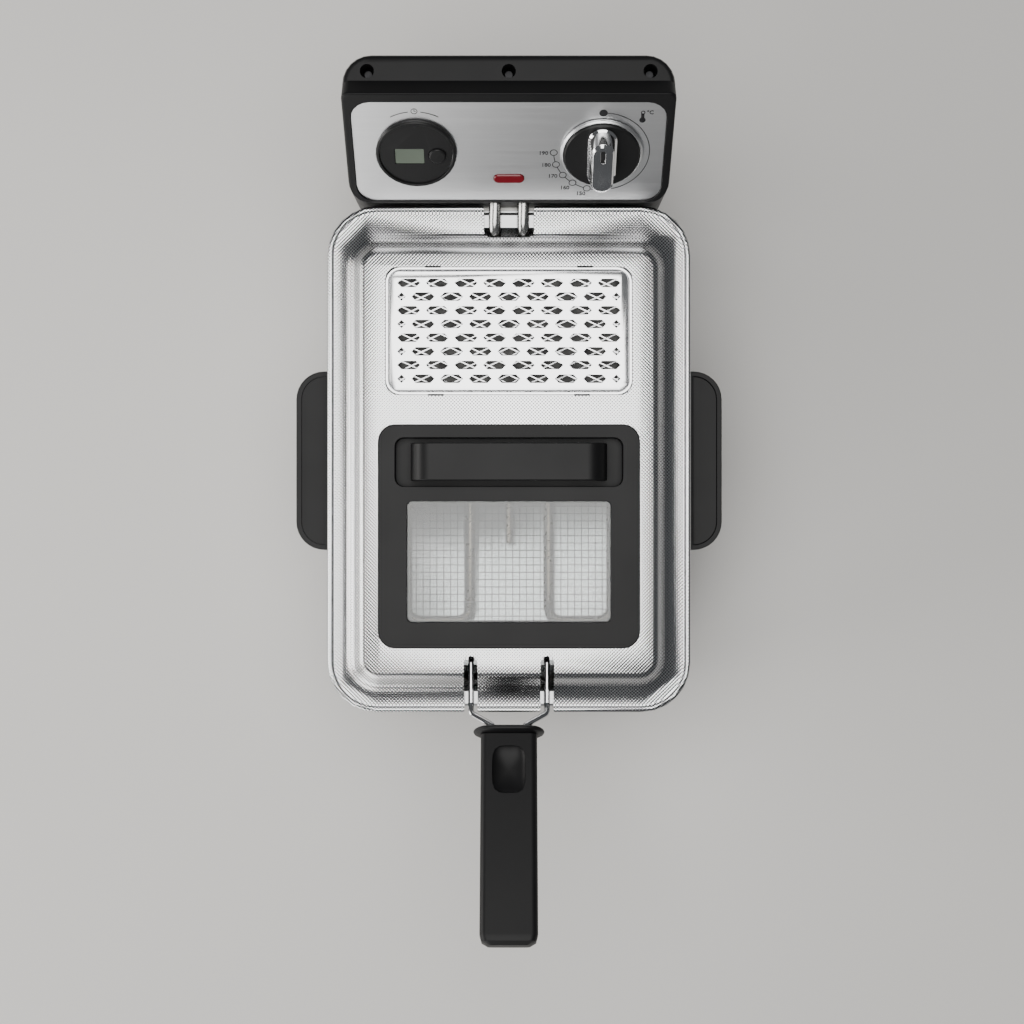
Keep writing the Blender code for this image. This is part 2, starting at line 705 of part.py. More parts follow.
def build_unit_shell(looks, unit):
    """The black rear shell: a box open along the fascia's slope, notched for the hanger rail."""
    top = UNIT_TOP_Z
    wall = UNIT_WALL
    rings = [
        (unit_outline(1.5 * MM), UNIT_BOTTOM_Z),
        (unit_outline(), UNIT_BOTTOM_Z + 1.5 * MM),
        (unit_outline(), top - 4 * MM),
        (unit_outline(1.2 * MM), top - 1.2 * MM),
        (unit_outline(4 * MM), top),
    ]
    shell = finish("control_shell", loft(rings), looks["black"], unit)
    cut(shell, prism(unit_outline(wall), UNIT_BOTTOM_Z + wall, top - wall))
    half = RECESS_WIDTH / 2
    front = UNIT_FRONT_Y - 5 * MM
    pocket = (UNIT_BOTTOM_Z + 1 * MM, RECESS_TOP_Z + wall)
    recess_wall = span_box((-half - wall, half + wall), (UNIT_FRONT_Y + 0.5 * MM, RECESS_Y + wall), pocket)
    cut(shell, recess_wall, "UNION")
    cut(shell, span_box((-half, half), (front, RECESS_Y), (UNIT_BOTTOM_Z - 5 * MM, RECESS_TOP_Z)))
    for x, y in WELLS:
        boss = prism(circle(WELL_RADIUS + 2 * MM, (x, y), 20), WELL_FLOOR_Z - 4 * MM, top - 1 * MM)
        cut(shell, boss, "UNION")
        cut(shell, prism(circle(WELL_RADIUS, (x, y), 20), WELL_FLOOR_Z, top + 5 * MM))
        cut(shell, prism(circle(2.2 * MM, (x, y), 12), WELL_FLOOR_Z - 8 * MM, WELL_FLOOR_Z + 2 * MM))
    big = 0.5
    cut(shell, to_slope(span_box((-big, big), (-big, big), (-BEZEL_DEPTH - GAP, big))))
    for place, radius in ((GLAND_PLACE, 5 * MM), (RESET_PLACE, RESET_RADIUS)):
        hole = prism(circle(radius + GAP, place, 16), UNIT_BOTTOM_Z - 5 * MM, UNIT_BOTTOM_Z + wall + 5 * MM)
        cut(shell, hole)
    return shell


def build_bezel(looks, unit):
    """The front frame: a raised lip round the fascia's pocket, with a vertical front under it."""
    length = FASCIA_LENGTH + BEZEL_TOP_LIP + BEZEL_BOTTOM_LIP
    middle = (0, (BEZEL_TOP_LIP - BEZEL_BOTTOM_LIP) / 2)
    lower = 30 * MM
    centre = (0, middle[1] - lower / 2)
    rings = [
        (rounded_rectangle(UNIT_WIDTH, length + lower, BEZEL_CORNER, centre), -BEZEL_DEPTH),
        (rounded_rectangle(UNIT_WIDTH, length + lower, BEZEL_CORNER, centre), 0),
        (rounded_rectangle(UNIT_WIDTH - 1 * MM, length + lower - 1 * MM, BEZEL_CORNER, centre), 1 * MM),
        (rounded_rectangle(UNIT_WIDTH - 3 * MM, length + lower - 3 * MM, BEZEL_CORNER, centre), BEZEL_RAISE),
    ]
    bezel = finish("control_bezel", to_slope(loft(rings)), looks["black"], unit)
    cut(bezel, prism(unit_outline(), -0.1, 0.5), "INTERSECT")
    pocket = rounded_rectangle(FASCIA_WIDTH + 2 * GAP, FASCIA_LENGTH + 2 * GAP, FASCIA_CORNER + GAP)
    cut(bezel, to_slope(prism(pocket, -FASCIA_SHEET - GAP, 20 * MM)))
    ledge = 2 * BEZEL_LEDGE
    window = rounded_rectangle(FASCIA_WIDTH - ledge, FASCIA_LENGTH - ledge, FASCIA_CORNER - 4 * MM)
    cut(bezel, to_slope(prism(window, -BEZEL_DEPTH - 5 * MM, 5 * MM)))
    for x in (-ELEMENT_SPREAD, ELEMENT_SPREAD):
        ends = [(x, UNIT_FRONT_Y - 5 * MM, ELEMENT_TOP_Z), (x, UNIT_FRONT_Y + 30 * MM, ELEMENT_TOP_Z)]
        cut(bezel, tube(ends, ELEMENT_RADIUS + GAP, 16))
    return bezel


def build_fascia(looks, slope):
    fascia = finish(
        "fascia_plate",
        prism(rounded_rectangle(FASCIA_WIDTH, FASCIA_LENGTH, FASCIA_CORNER, steps=8), -FASCIA_SHEET, 0),
        looks["steel"],
        slope,
    )
    below = -FASCIA_SHEET - 2 * MM
    above = 2 * MM
    cut(fascia, prism(circle(TIMER_BODY_RADIUS + GAP, (-DIAL_OFFSET, 0), 32), below, above))
    cut(fascia, prism(circle(SHAFT_RADIUS + GAP, (DIAL_OFFSET, 0), 16), below, above))
    hole = rounded_rectangle(LENS_WIDTH + 2 * GAP, LENS_HEIGHT + 2 * GAP, 9, LENS_PLACE)
    cut(fascia, prism(hole, below, above))
    return fascia


def build_timer(looks, slope):
    """Round timer let into the fascia: body, raised rim, face, display and push button."""
    spot = (-DIAL_OFFSET, 0, 0)
    finish("timer_body", prism(circle(TIMER_BODY_RADIUS), -18 * MM, 0), looks["black"], slope, spot)
    inner = TIMER_RADIUS - TIMER_RIM
    rings = [
        (circle(TIMER_RADIUS, steps=32), GAP),
        (circle(TIMER_RADIUS, steps=32), TIMER_RAISE - 1 * MM),
        (circle(TIMER_RADIUS - 0.8 * MM, steps=32), TIMER_RAISE),
        (circle(inner, steps=32), TIMER_RAISE),
        (circle(inner, steps=32), GAP),
    ]
    finish("timer_rim", loft(rings, closed=True), looks["black"], slope, spot)
    plate = prism(circle(inner - GAP, steps=32), GAP, 2 * MM)
    face = finish("timer_face", plate, looks["black"], slope, spot)
    x, y = DISPLAY_PLACE
    hole = box(DISPLAY_WIDTH + 2 * GAP, DISPLAY_HEIGHT + 2 * GAP, -1 * MM, 4 * MM, (x, y), 1 * MM)
    cut(face, hole)
    cut(face, prism(circle(BUTTON_RADIUS + GAP, BUTTON_PLACE, 24), -1 * MM, 4 * MM))
    shape = box(DISPLAY_WIDTH, DISPLAY_HEIGHT, GAP, 1.7 * MM, (x, y), 0.7 * MM)
    finish("timer_display", shape, looks["display"], slope, spot)
    low = GAP + BUTTON_TRAVEL + 0.1 * MM
    rings = [
        (circle(BUTTON_RADIUS, steps=24), low),
        (circle(BUTTON_RADIUS, steps=24), 3 * MM),
        (circle(BUTTON_RADIUS - 0.8 * MM, steps=24), 3.6 * MM),
    ]
    place = (spot[0] + BUTTON_PLACE[0], BUTTON_PLACE[1], 0)
    finish("timer_button", loft(rings), looks["black"], empty("button_press", place, slope))


def stadium(length, width, steps=8):
    """Outline of a bar with round ends, long along Y."""
    return rounded_rectangle(width, length, width / 2, steps=steps)


def build_knob(looks, slope):
    """Thermostat knob on its shaft: disc, chrome ring, tapered bar grip and dark pointer."""
    axis = empty("knob_turn", (DIAL_OFFSET, 0, 0), slope)
    disc_low = 1.3 * MM
    disc_top = 4.8 * MM
    disc = finish(
        "knob_disc",
        loft(
            [
                (circle(KNOB_RADIUS, steps=32), disc_low),
                (circle(KNOB_RADIUS, steps=32), disc_top - 1 * MM),
                (circle(KNOB_RADIUS - 1 * MM, steps=32), disc_top),
            ]
        ),
        looks["black"],
        axis,
    )
    cut(disc, prism(circle(SHAFT_RADIUS + GAP, steps=16), 0, 3.6 * MM))
    inner = KNOB_RADIUS + GAP
    outer = KNOB_RADIUS + KNOB_RING
    rings = [
        (circle(outer, steps=32), 0.8 * MM),
        (circle(outer - 0.2 * MM, steps=32), 2.2 * MM),
        (circle(outer - 1.2 * MM, steps=32), 3.2 * MM),
        (circle(inner, steps=32), 3.2 * MM),
        (circle(inner, steps=32), 0.8 * MM),
    ]
    finish("knob_ring", loft(rings, closed=True), looks["chrome"], axis)
    base = disc_top + GAP
    top = base + KNOB_GRIP_HEIGHT
    grip = finish(
        "knob_grip",
        loft(
            [
                (stadium(KNOB_GRIP_LENGTH, KNOB_GRIP_WIDTH), base),
                (stadium(KNOB_GRIP_LENGTH, KNOB_GRIP_WIDTH), base + 1.2 * MM),
                (stadium(KNOB_GRIP_LENGTH - 3 * MM, KNOB_GRIP_WIDTH - 3 * MM), base + 2.4 * MM),
                (stadium(KNOB_GRIP_LENGTH - 7 * MM, KNOB_GRIP_WIDTH - 4.5 * MM), top - 1.2 * MM),
                (stadium(KNOB_GRIP_LENGTH - 11 * MM, KNOB_GRIP_WIDTH - 6.4 * MM), top),
            ]
        ),
        looks["chrome"],
        axis,
    )
    spot = (0, 10 * MM)
    cut(grip, box(3.2 * MM, 10 * MM, top - 1.5 * MM, top + 2 * MM, spot, 1 * MM))
    pointer = box(2.6 * MM, 9.4 * MM, top - 1.5 * MM + GAP, top - 0.3 * MM, spot, 0.8 * MM)
    finish("knob_pointer", pointer, looks["black"], axis)
    shaft = prism(circle(SHAFT_RADIUS, steps=16), -9 * MM, 3.3 * MM)
    finish("thermostat_shaft", shaft, looks["zinc"], axis)


def build_behind_fascia(looks, slope):
    """What the fascia carries on its inner side: thermostat, lamp holder and the lens in front of it."""
    body = finish(
        "thermostat_body",
        box(32 * MM, 32 * MM, -22 * MM, -FASCIA_SHEET - GAP, (DIAL_OFFSET, 0), 4 * MM),
        looks["steel"],
        slope,
    )
    cut(body, prism(circle(SHAFT_RADIUS + GAP, (DIAL_OFFSET, 0), 16), -9.6 * MM, 5 * MM))
    x, y = LENS_PLACE
    pill = rounded_rectangle(LENS_WIDTH, LENS_HEIGHT, 9, (x, y), steps=6)
    small = rounded_rectangle(LENS_WIDTH - 1.2 * MM, LENS_HEIGHT - 1.2 * MM, 9, (x, y), steps=6)
    lens = loft([(pill, -4 * MM), (pill, 0.6 * MM), (small, 1.2 * MM)])
    finish("indicator_lens", lens, looks["red"], slope)
    holder = box(LENS_WIDTH + 2 * MM, LENS_HEIGHT + 2 * MM, -14 * MM, -4 * MM - GAP, (x, y), 2 * MM)
    finish("indicator_lamp", holder, looks["white"], slope)


def build_tongue(looks, unit):
    """The steel tongue that drops into the hanger rail, joined to the shell through its mouth."""
    near = HOUSING_LENGTH / 2 + GAP + RAIL_SHEET + TONGUE_PLAY
    far = HOUSING_LENGTH / 2 + GAP + RAIL_DEPTH - RAIL_SHEET - TONGUE_PLAY
    half = RAIL_WIDTH / 2 - RAIL_SHEET - TONGUE_PLAY
    neck = RAIL_MOUTH / 2 - 2 * MM
    back = RECESS_Y - GAP
    outline = [
        (-half, near),
        (half, near),
        (half, far),
        (neck, far),
        (neck, back),
        (-neck, back),
        (-neck, far),
        (-half, far),
    ]
    low = RAIL_BOTTOM_Z + RAIL_SHEET + GAP
    finish("hanger_tongue", prism(outline, low, RAIL_TOP_Z - 2 * MM), looks["zinc"], unit)


def element_route():
    """One side of the heating element from inside the unit to the middle of its front loop."""
    x = ELEMENT_SPREAD
    low = ELEMENT_FLOOR_Z
    outer = BOWL_WIDTH / 2 - 32 * MM
    inner = 30 * MM
    front = -BOWL_LENGTH / 2 + 40 * MM
    turn_y = ELEMENT_LEG_Y - 34 * MM
    return [
        (x, UNIT_FRONT_Y + 22 * MM, ELEMENT_TOP_Z),
        (x, ELEMENT_LEG_Y, ELEMENT_TOP_Z),
        (x, ELEMENT_LEG_Y, low),
        (x, turn_y, low),
        (outer, turn_y, low),
        (outer, front, low),
        (inner, front, low),
        (inner, 70 * MM, low),
        (0, 70 * MM, low),
    ]


def build_element(looks, unit):
    """The heating element: one bent tube with both ends in the unit."""
    right = rounded_path(element_route(), 9.9 * MM, 3)
    left = [Vector((-p.x, p.y, p.z)) for p in right[:-1]]
    finish("heating_element", tube(right + left[::-1], ELEMENT_RADIUS, 8), looks["chrome"], unit)


def build_sensor(looks, unit):
    """Thermostat bulb lying between the element's inner runs, its clip, and the brace of the legs."""
    z = ELEMENT_FLOOR_Z
    bulb = tube([(0, -60 * MM, z), (0, 30 * MM, z)], 2.6 * MM, 10)
    finish("thermostat_bulb", bulb, looks["chrome"], unit)
    clip = finish(
        "bulb_clip",
        span_box((-37 * MM, 37 * MM), (-22 * MM, -12 * MM), (z - 6.5 * MM, z + 6.5 * MM)),
        looks["steel"],
        unit,
    )
    for x, radius in ((-30 * MM, ELEMENT_RADIUS), (0, 2.6 * MM), (30 * MM, ELEMENT_RADIUS)):
        cut(clip, tube([(x, -40 * MM, z), (x, 0, z)], radius + GAP, 10))
    brace = finish(
        "element_brace",
        box(34 * MM, 11 * MM, 120 * MM, 124 * MM, (0, ELEMENT_LEG_Y - 1.5 * MM), 2 * MM),
        looks["steel"],
        unit,
    )
    for x in (-ELEMENT_SPREAD, ELEMENT_SPREAD):
        cut(brace, prism(circle(ELEMENT_RADIUS + GAP, (x, ELEMENT_LEG_Y), 10), 110 * MM, 130 * MM))


def build_unit_inside(looks, unit):
    """Terminal block, safety switch, gland, reset button and the three shell screws."""
    floor = UNIT_BOTTOM_Z + UNIT_WALL + GAP
    block = span_box(TERMINAL_X, TERMINAL_Y, (floor, floor + TERMINAL_HEIGHT))
    finish("terminal_block", block, looks["white"], unit)
    switch = span_box(SWITCH_X, SWITCH_Y, (floor, floor + SWITCH_HEIGHT))
    finish("safety_switch", switch, looks["red"], unit)
    x, y = GLAND_PLACE
    rings = [
        (circle(7 * MM, (x, y), 20), UNIT_BOTTOM_Z - 7 * MM),
        (circle(8 * MM, (x, y), 20), UNIT_BOTTOM_Z - GAP),
        (circle(5 * MM, (x, y), 20), UNIT_BOTTOM_Z - GAP),
        (circle(5 * MM, (x, y), 20), floor + 3 * MM),
    ]
    gland = finish("cord_gland", loft(rings), looks["black"], unit)
    cut(gland, prism(circle(3 * MM, (x, y), 12), UNIT_BOTTOM_Z - 20 * MM, floor + 20 * MM))
    x, y = RESET_PLACE
    press = empty("reset_press", (x, y, UNIT_BOTTOM_Z), unit)
    shape = prism(circle(RESET_RADIUS, steps=16), -2 * MM, UNIT_WALL + 2 * MM)
    finish("reset_button", shape, looks["red"], press)
    for name, place in zip(("left", "centre", "right"), WELLS):
        screw(f"shell_screw_{name}", looks["zinc"], unit, (*place, WELL_FLOOR_Z + GAP), length=14 * MM)


# --- basket ------------------------------------------------------------------------------------


def along_y(bm):
    """Lays a mesh drawn in XY and extruded along Z so that it is drawn in XZ and runs along -Y."""
    bmesh.ops.transform(bm, matrix=Matrix.Rotation(math.pi / 2, 4, "X"), verts=bm.verts)
    return bm


def merged(meshes):
    """Several meshes in one, each still its own body."""
    whole = bmesh.new()
    for bm in meshes:
        bmesh.ops.recalc_face_normals(bm, faces=bm.faces)
        part = bpy.data.meshes.new("part")
        bm.to_mesh(part)
        bm.free()
        whole.from_mesh(part)
        bpy.data.meshes.remove(part)
    return whole


def basket_ring(inset, z):
    outline = rounded_rectangle(
        BASKET_WIDTH - 2 * inset,
        BASKET_LENGTH - 2 * inset,
        BASKET_CORNER - inset,
        (0, BASKET_CENTRE_Y),
        6,
    )
    return (outline, z)


def build_basket(looks, basket):
    """The basket as a thin-walled tapered pan, with its rim wire and front bracket."""
    low = BASKET_BOTTOM_Z
    wall = BASKET_WALL
    taper = BASKET_TAPER
    rings = [
        basket_ring(taper + 5 * MM, low),
        basket_ring(taper, low + 5 * MM),
        basket_ring(0, BASKET_TOP_Z),
        basket_ring(wall, BASKET_TOP_Z),
        basket_ring(taper + wall, low + 6 * MM),
        basket_ring(taper + 6 * MM, low + wall),
    ]
    finish("basket_mesh", loft(rings), looks["chrome"], basket)
    rings = []
    for step in range(8):
        angle = 2 * math.pi * step / 8
        inset = -GAP - BASKET_RIM_RADIUS * (1 - math.cos(angle))
        rings.append(basket_ring(inset, BASKET_TOP_Z - 2.2 * MM + BASKET_RIM_RADIUS * math.sin(angle)))
    finish("basket_rim", loft(rings, closed=True), looks["chrome"], basket)
    half = BRACKET_WIDTH / 2
    front = BASKET_FRONT_Y - BRACKET_DEPTH
    back = BASKET_FRONT_Y - GAP
    heights = (BRACKET_LOW_Z, BRACKET_HIGH_Z)
    block = span_box((-half, half), (front, back), heights)
    bracket = finish("basket_bracket", block, looks["steel"], basket)
    for x in (-WIRE_SPREAD, WIRE_SPREAD):
        hole = circle(WIRE_RADIUS + GAP, (x, WIRE_Y), 12)
        cut(bracket, prism(hole, BRACKET_LOW_Z - 1 * MM, BRACKET_HIGH_Z + 1 * MM))


def grip_point(x, along):
    """A point in the basket's frame, this far along the grip's middle plane."""
    y = GRIP_START_Y - along * math.cos(GRIP_TILT)
    z = GRIP_START_Z + along * math.sin(GRIP_TILT)
    return (x, y, z)


def build_handle_wire(looks, basket):
    """One bent wire: up from the bracket, over the bowl's rim, out through the lid and into the grip."""
    route = [
        (WIRE_SPREAD, WIRE_Y, BRACKET_LOW_Z - 6 * MM),
        (WIRE_SPREAD, WIRE_Y, WIRE_REST_Z),
        (WIRE_SPREAD, -LID_LENGTH / 2 + 6 * MM, WIRE_REST_Z),
        (WIRE_SPREAD, -LID_LENGTH / 2 - 0.5 * MM, WIRE_REST_Z + 4 * MM),
        grip_point(WIRE_GRIP_SPREAD, -2.6 * MM),
        grip_point(WIRE_GRIP_SPREAD, WIRE_INSIDE_GRIP),
        grip_point(0, WIRE_INSIDE_GRIP),
    ]
    right = rounded_path(route, 3.2 * MM, 3)
    left = [Vector((-p.x, p.y, p.z)) for p in right[:-1]]
    finish("handle_wire", tube(right + left[::-1], WIRE_RADIUS, 8), looks["chrome"], basket)


def wire_channels():
    """Cutter for the wire's path inside the grip, in the grip's frame."""
    radius = WIRE_RADIUS + GAP
    deep = WIRE_INSIDE_GRIP + radius
    shapes = []
    for x in (-WIRE_GRIP_SPREAD, WIRE_GRIP_SPREAD):
        shapes.append(tube([(x, 5 * MM, 0), (x, -deep, 0)], radius, 12))
    across = WIRE_GRIP_SPREAD + radius
    shapes.append(
        span_box((-across, across), (-deep - 0.1 * MM, -WIRE_INSIDE_GRIP + radius), (-radius, radius))
    )
    return shapes


def build_grip(looks, basket):
    """Finger guard and the two halves of the black grip, closed round the wire by one screw."""
    frame = empty("grip_frame", (0, GRIP_START_Y, GRIP_START_Z), basket)
    frame.rotation_euler = (-GRIP_TILT, 0, 0)
    guard = finish(
        "finger_guard",
        along_y(
            loft(
                [
                    (rounded_rectangle(GUARD_WIDTH - 3 * MM, GUARD_HEIGHT - 3 * MM, 13 * MM), 0),
                    (rounded_rectangle(GUARD_WIDTH, GUARD_HEIGHT, 14 * MM), 1.5 * MM),
                    (rounded_rectangle(GUARD_WIDTH - 1 * MM, GUARD_HEIGHT - 1 * MM, 14 * MM), 3 * MM),
                    (rounded_rectangle(GRIP_WIDTH, GRIP_THICKNESS, 8 * MM), GUARD_THICKNESS),
                ]
            )
        ),
        looks["black"],
        frame,
    )
    for shape in wire_channels()[:2]:
        cut(guard, shape)
    start = GUARD_THICKNESS + GAP
    profile = (
        (start, 0, GRIP_EDGE),
        (GRIP_LENGTH - GRIP_END_ROUND - 2 * MM, 0, GRIP_EDGE),
        (GRIP_LENGTH - GRIP_END_ROUND / 2, GRIP_END_ROUND / 4, GRIP_EDGE),
        (GRIP_LENGTH, GRIP_END_ROUND, GRIP_EDGE - 1 * MM),
    )
    for name, sign in (("grip_upper", 1), ("grip_lower", -1)):
        rings = [
            (rounded_rectangle(GRIP_WIDTH - 2 * inset, GRIP_THICKNESS - 2 * inset, corner), along)
            for along, inset, corner in profile
        ]
        half = finish(name, along_y(loft(rings)), looks["black"], frame)
        away = sorted((-sign * 0.1, sign * GAP / 2))
        cut(half, span_box((-0.1, 0.1), (-0.3, 0.1), away))
        for shape in wire_channels():
            cut(half, shape)
    upper = bpy.data.objects["grip_upper"]
    thumb = bmesh.new()
    bmesh.ops.create_uvsphere(thumb, u_segments=24, v_segments=12, radius=1)
    for point in thumb.verts:
        across = math.hypot(point.co.x, point.co.y)
        if across > 1e-6:
            # Drawn out to a square with round corners
            cosine, sine = point.co.x / across, point.co.y / across
            out = (cosine**THUMB_SQUARENESS + sine**THUMB_SQUARENESS) ** (-1 / THUMB_SQUARENESS)
            point.co.x *= out
            point.co.y *= out
    bmesh.ops.scale(thumb, vec=(THUMB_WIDTH / 2, THUMB_LENGTH / 2, THUMB_DEPTH), verts=thumb.verts)
    along = -GUARD_THICKNESS - THUMB_START - THUMB_LENGTH / 2
    place = Vector((0, along, GRIP_THICKNESS / 2 + GAP))
    bmesh.ops.translate(thumb, vec=place, verts=thumb.verts)
    cut(upper, thumb)
    at = (0, -GRIP_SCREW_AT)
    lower = bpy.data.objects["grip_lower"]
    seat = -GRIP_THICKNESS / 2 + 3.5 * MM
    cut(lower, prism(circle(4.6 * MM, at, 16), -20 * MM, seat))
    for half in (upper, lower):
        cut(half, prism(circle(2.1 * MM, at, 12), -20 * MM, 5.5 * MM))
    screw("grip_screw", looks["zinc"], frame, (*at, seat - GAP), (math.pi, 0, 0))


# --- lid ---------------------------------------------------------------------------------------


def lid_ring(side, front, rear, z, corner):
    width = LID_WIDTH - 2 * side
    length = LID_LENGTH - front - rear
    return (rounded_rectangle(width, length, corner, (0, (front - rear) / 2), 6), z)


def slope_ring(inset, z):
    """A ring of the lid's slope, whose front and rear runs widen towards the plateau."""
    share = max(0, (inset - GROOVE_INSET) / (SIDE_RIM - GROOVE_INSET))
    front = inset + 0.5 * MM + share * (FRONT_RIM - SIDE_RIM - 0.5 * MM)
    rear = inset + REAR_GROOVE + share * (REAR_RIM - SIDE_RIM - REAR_GROOVE)
    return lid_ring(inset, front, rear, z, PLATEAU_CORNER + SIDE_RIM - inset)


def build_lid_shell(looks, lid):
    """Pressed sheet: turned-down skirt, rolled bead, flat rim, step, slope and raised plateau."""
    t = LID_SHEET
    top = RIM_Z
    rise = PLATEAU_Z
    c = LID_CORNER
    outside = [
        lid_ring(0, 0, 0, top - SKIRT_DROP, c),
        lid_ring(0, 0, 0, top - 1.6 * MM, c),
        lid_ring(0.5 * MM, 0.5 * MM, 0.5 * MM, top - 0.5 * MM, c),
        lid_ring(1.6 * MM, 1.6 * MM, 1.6 * MM, top, c - 1 * MM),
        lid_ring(3.2 * MM, 3.2 * MM, 3.2 * MM, top, c - 3 * MM),
        lid_ring(4.2 * MM, 4.2 * MM, 4.2 * MM, top - 1.2 * MM, c - 4 * MM),
        lid_ring(5.4 * MM, 5.4 * MM, 5.4 * MM, top - 1 * MM, c - 5 * MM),
    ]
    outside.append(slope_ring(GROOVE_END, top - GROOVE_DROP))
    for step in range(RAMP_STEPS + 1):
        share = step / RAMP_STEPS
        eased = share - RAMP_ROUNDING * math.sin(2 * math.pi * share) / (2 * math.pi)
        height = STEP_RISE + (PLATEAU_RISE - STEP_RISE) * eased
        outside.append(slope_ring(RAMP_INSET + (SIDE_RIM - RAMP_INSET) * share, top + height))
    a = 0.85 * MM
    inside = [
        lid_ring(SIDE_RIM + a, FRONT_RIM + a, REAR_RIM + a, rise - t, 13.4 * MM),
        lid_ring(17.5 * MM + a, 18 * MM + a, 23.5 * MM + a, top + 0.6 * MM, 17 * MM),
        lid_ring(14.5 * MM + t, 15 * MM + t, 20.5 * MM + t, top - 0.6 * MM, 19 * MM),
        lid_ring(13.5 * MM + t, 14 * MM + t, 19.5 * MM + t, top - 1 * MM - t, 20 * MM),
        lid_ring(5.4 * MM, 5.4 * MM, 5.4 * MM, top - 1 * MM - t, c - 5 * MM),
        lid_ring(3.6 * MM, 3.6 * MM, 3.6 * MM, top - 1.2 * MM - t, c - 4 * MM),
        lid_ring(t, t, t, top - 1.6 * MM - t, c - t),
        lid_ring(t, t, t, top - SKIRT_DROP, c - t),
    ]
    shell = finish("lid_shell", loft(outside[::-1] + inside[::-1]), looks["steel"], lid)
    low = top - 30 * MM
    high = rise + 30 * MM
    hole = rounded_rectangle(FILTER_WIDTH, FILTER_LENGTH, FILTER_CORNER, (0, FILTER_CENTRE_Y))
    cut(shell, prism(hole, low, high))
    hole = rounded_rectangle(
        INSERT_WIDTH - 2 * INSERT_FLANGE,
        INSERT_LENGTH - 2 * INSERT_FLANGE,
        INSERT_CORNER - INSERT_FLANGE,
        (0, INSERT_CENTRE_Y),
    )
    cut(shell, prism(hole, low, high))
    rear = LID_LENGTH / 2
    notch = rounded_rectangle(NOTCH_WIDTH, 2 * NOTCH_DEPTH, 5 * MM, (0, rear))
    cut(shell, prism(notch, low, high))
    for x in (-WIRE_SPREAD, WIRE_SPREAD):
        slot = rounded_rectangle(SLOT_WIDTH, 2 * SLOT_LENGTH, SLOT_WIDTH / 2, (x, -rear), 6)
        cut(shell, prism(slot, low, high))
    return shell


def filter_slots():
    """Centres and lengths of the cover's slots: full rows, and staggered rows with a stub at each end."""
    slots = []
    for row in range(FILTER_ROWS):
        y = ((FILTER_ROWS - 1) / 2 - row) * FILTER_ROW_PITCH
        count = FILTER_COLUMNS - row % 2
        for column in range(count):
            x = (column - (count - 1) / 2) * FILTER_SLOT_PITCH
            slots.append((x, y, FILTER_SLOT_LENGTH))
        if row % 2:
            edge = (FILTER_COLUMNS - 1) / 2 * FILTER_SLOT_PITCH + FILTER_SLOT_LENGTH / 2
            stub = edge - FILTER_SLOT_WIDTH / 2
            slots.append((-stub, y, FILTER_SLOT_WIDTH))
            slots.append((stub, y, FILTER_SLOT_WIDTH))
    return slots


def build_filter(looks, lid):
    """Filter box under the lid's opening: housing, pad, mesh and the slotted lift-off cover."""
    centre = (0, FILTER_CENTRE_Y)

    def ring(grow, z):
        outline = rounded_rectangle(
            FILTER_WIDTH + 2 * grow, FILTER_LENGTH + 2 * grow, FILTER_CORNER + grow, centre
        )
        return (outline, z)

    sheet = FILTER_SHEET
    top = PLATEAU_Z - LID_SHEET - GAP
    floor = FILTER_FLOOR_Z
    rings = [
        ring(sheet, floor),
        ring(sheet, top - sheet),
        ring(4 * MM, top - sheet),
        ring(4 * MM, top),
        ring(0, top),
        ring(0, floor + sheet),
    ]
    housing = finish("filter_housing", loft(rings), looks["steel"], lid)
    vents = []
    pitch_x = (FILTER_WIDTH - 12 * MM) / 4
    pitch_y = (FILTER_LENGTH - 12 * MM) / 2
    for i in range(4):
        for j in range(2):
            place = ((i - 1.5) * pitch_x, FILTER_CENTRE_Y + (j - 0.5) * pitch_y)
            vents.append(
                box(pitch_x - 6 * MM, pitch_y - 6 * MM, floor - 2 * MM, floor + 3 * MM, place, 3 * MM)
            )
    cut(housing, merged(vents))
    pad_low = floor + sheet + GAP
    finish("filter_pad", prism(ring(-1 * MM, 0)[0], pad_low, FILTER_MESH_Z - GAP), looks["foam"], lid)
    mesh_top = FILTER_MESH_Z + 1.2 * MM
    finish("filter_mesh", prism(ring(-0.8 * MM, 0)[0], FILTER_MESH_Z, mesh_top), looks["steel"], lid)
    gap = -FILTER_PLATE_GAP
    skirt = mesh_top + GAP
    plate_top = PLATEAU_Z - 0.6 * MM
    rings = [
        ring(gap - 1 * MM, plate_top),
        ring(gap - 0.3 * MM, plate_top - 0.3 * MM),
        ring(gap, plate_top - 1 * MM),
        ring(gap, skirt),
        ring(gap - sheet, skirt),
        ring(gap - sheet, plate_top - sheet),
    ]
    cover = finish("filter_cover", loft(rings), looks["steel"], empty("filter_lift", (0, 0, 0), lid))
    slots = []
    for x, y, length in filter_slots():
        place = (x, y + FILTER_CENTRE_Y)
        outline = rounded_rectangle(length, FILTER_SLOT_WIDTH, FILTER_SLOT_WIDTH / 2, place, 1)
        slots.append(prism(outline, plate_top - 3 * MM, plate_top + 2 * MM))
    cut(cover, merged(slots))


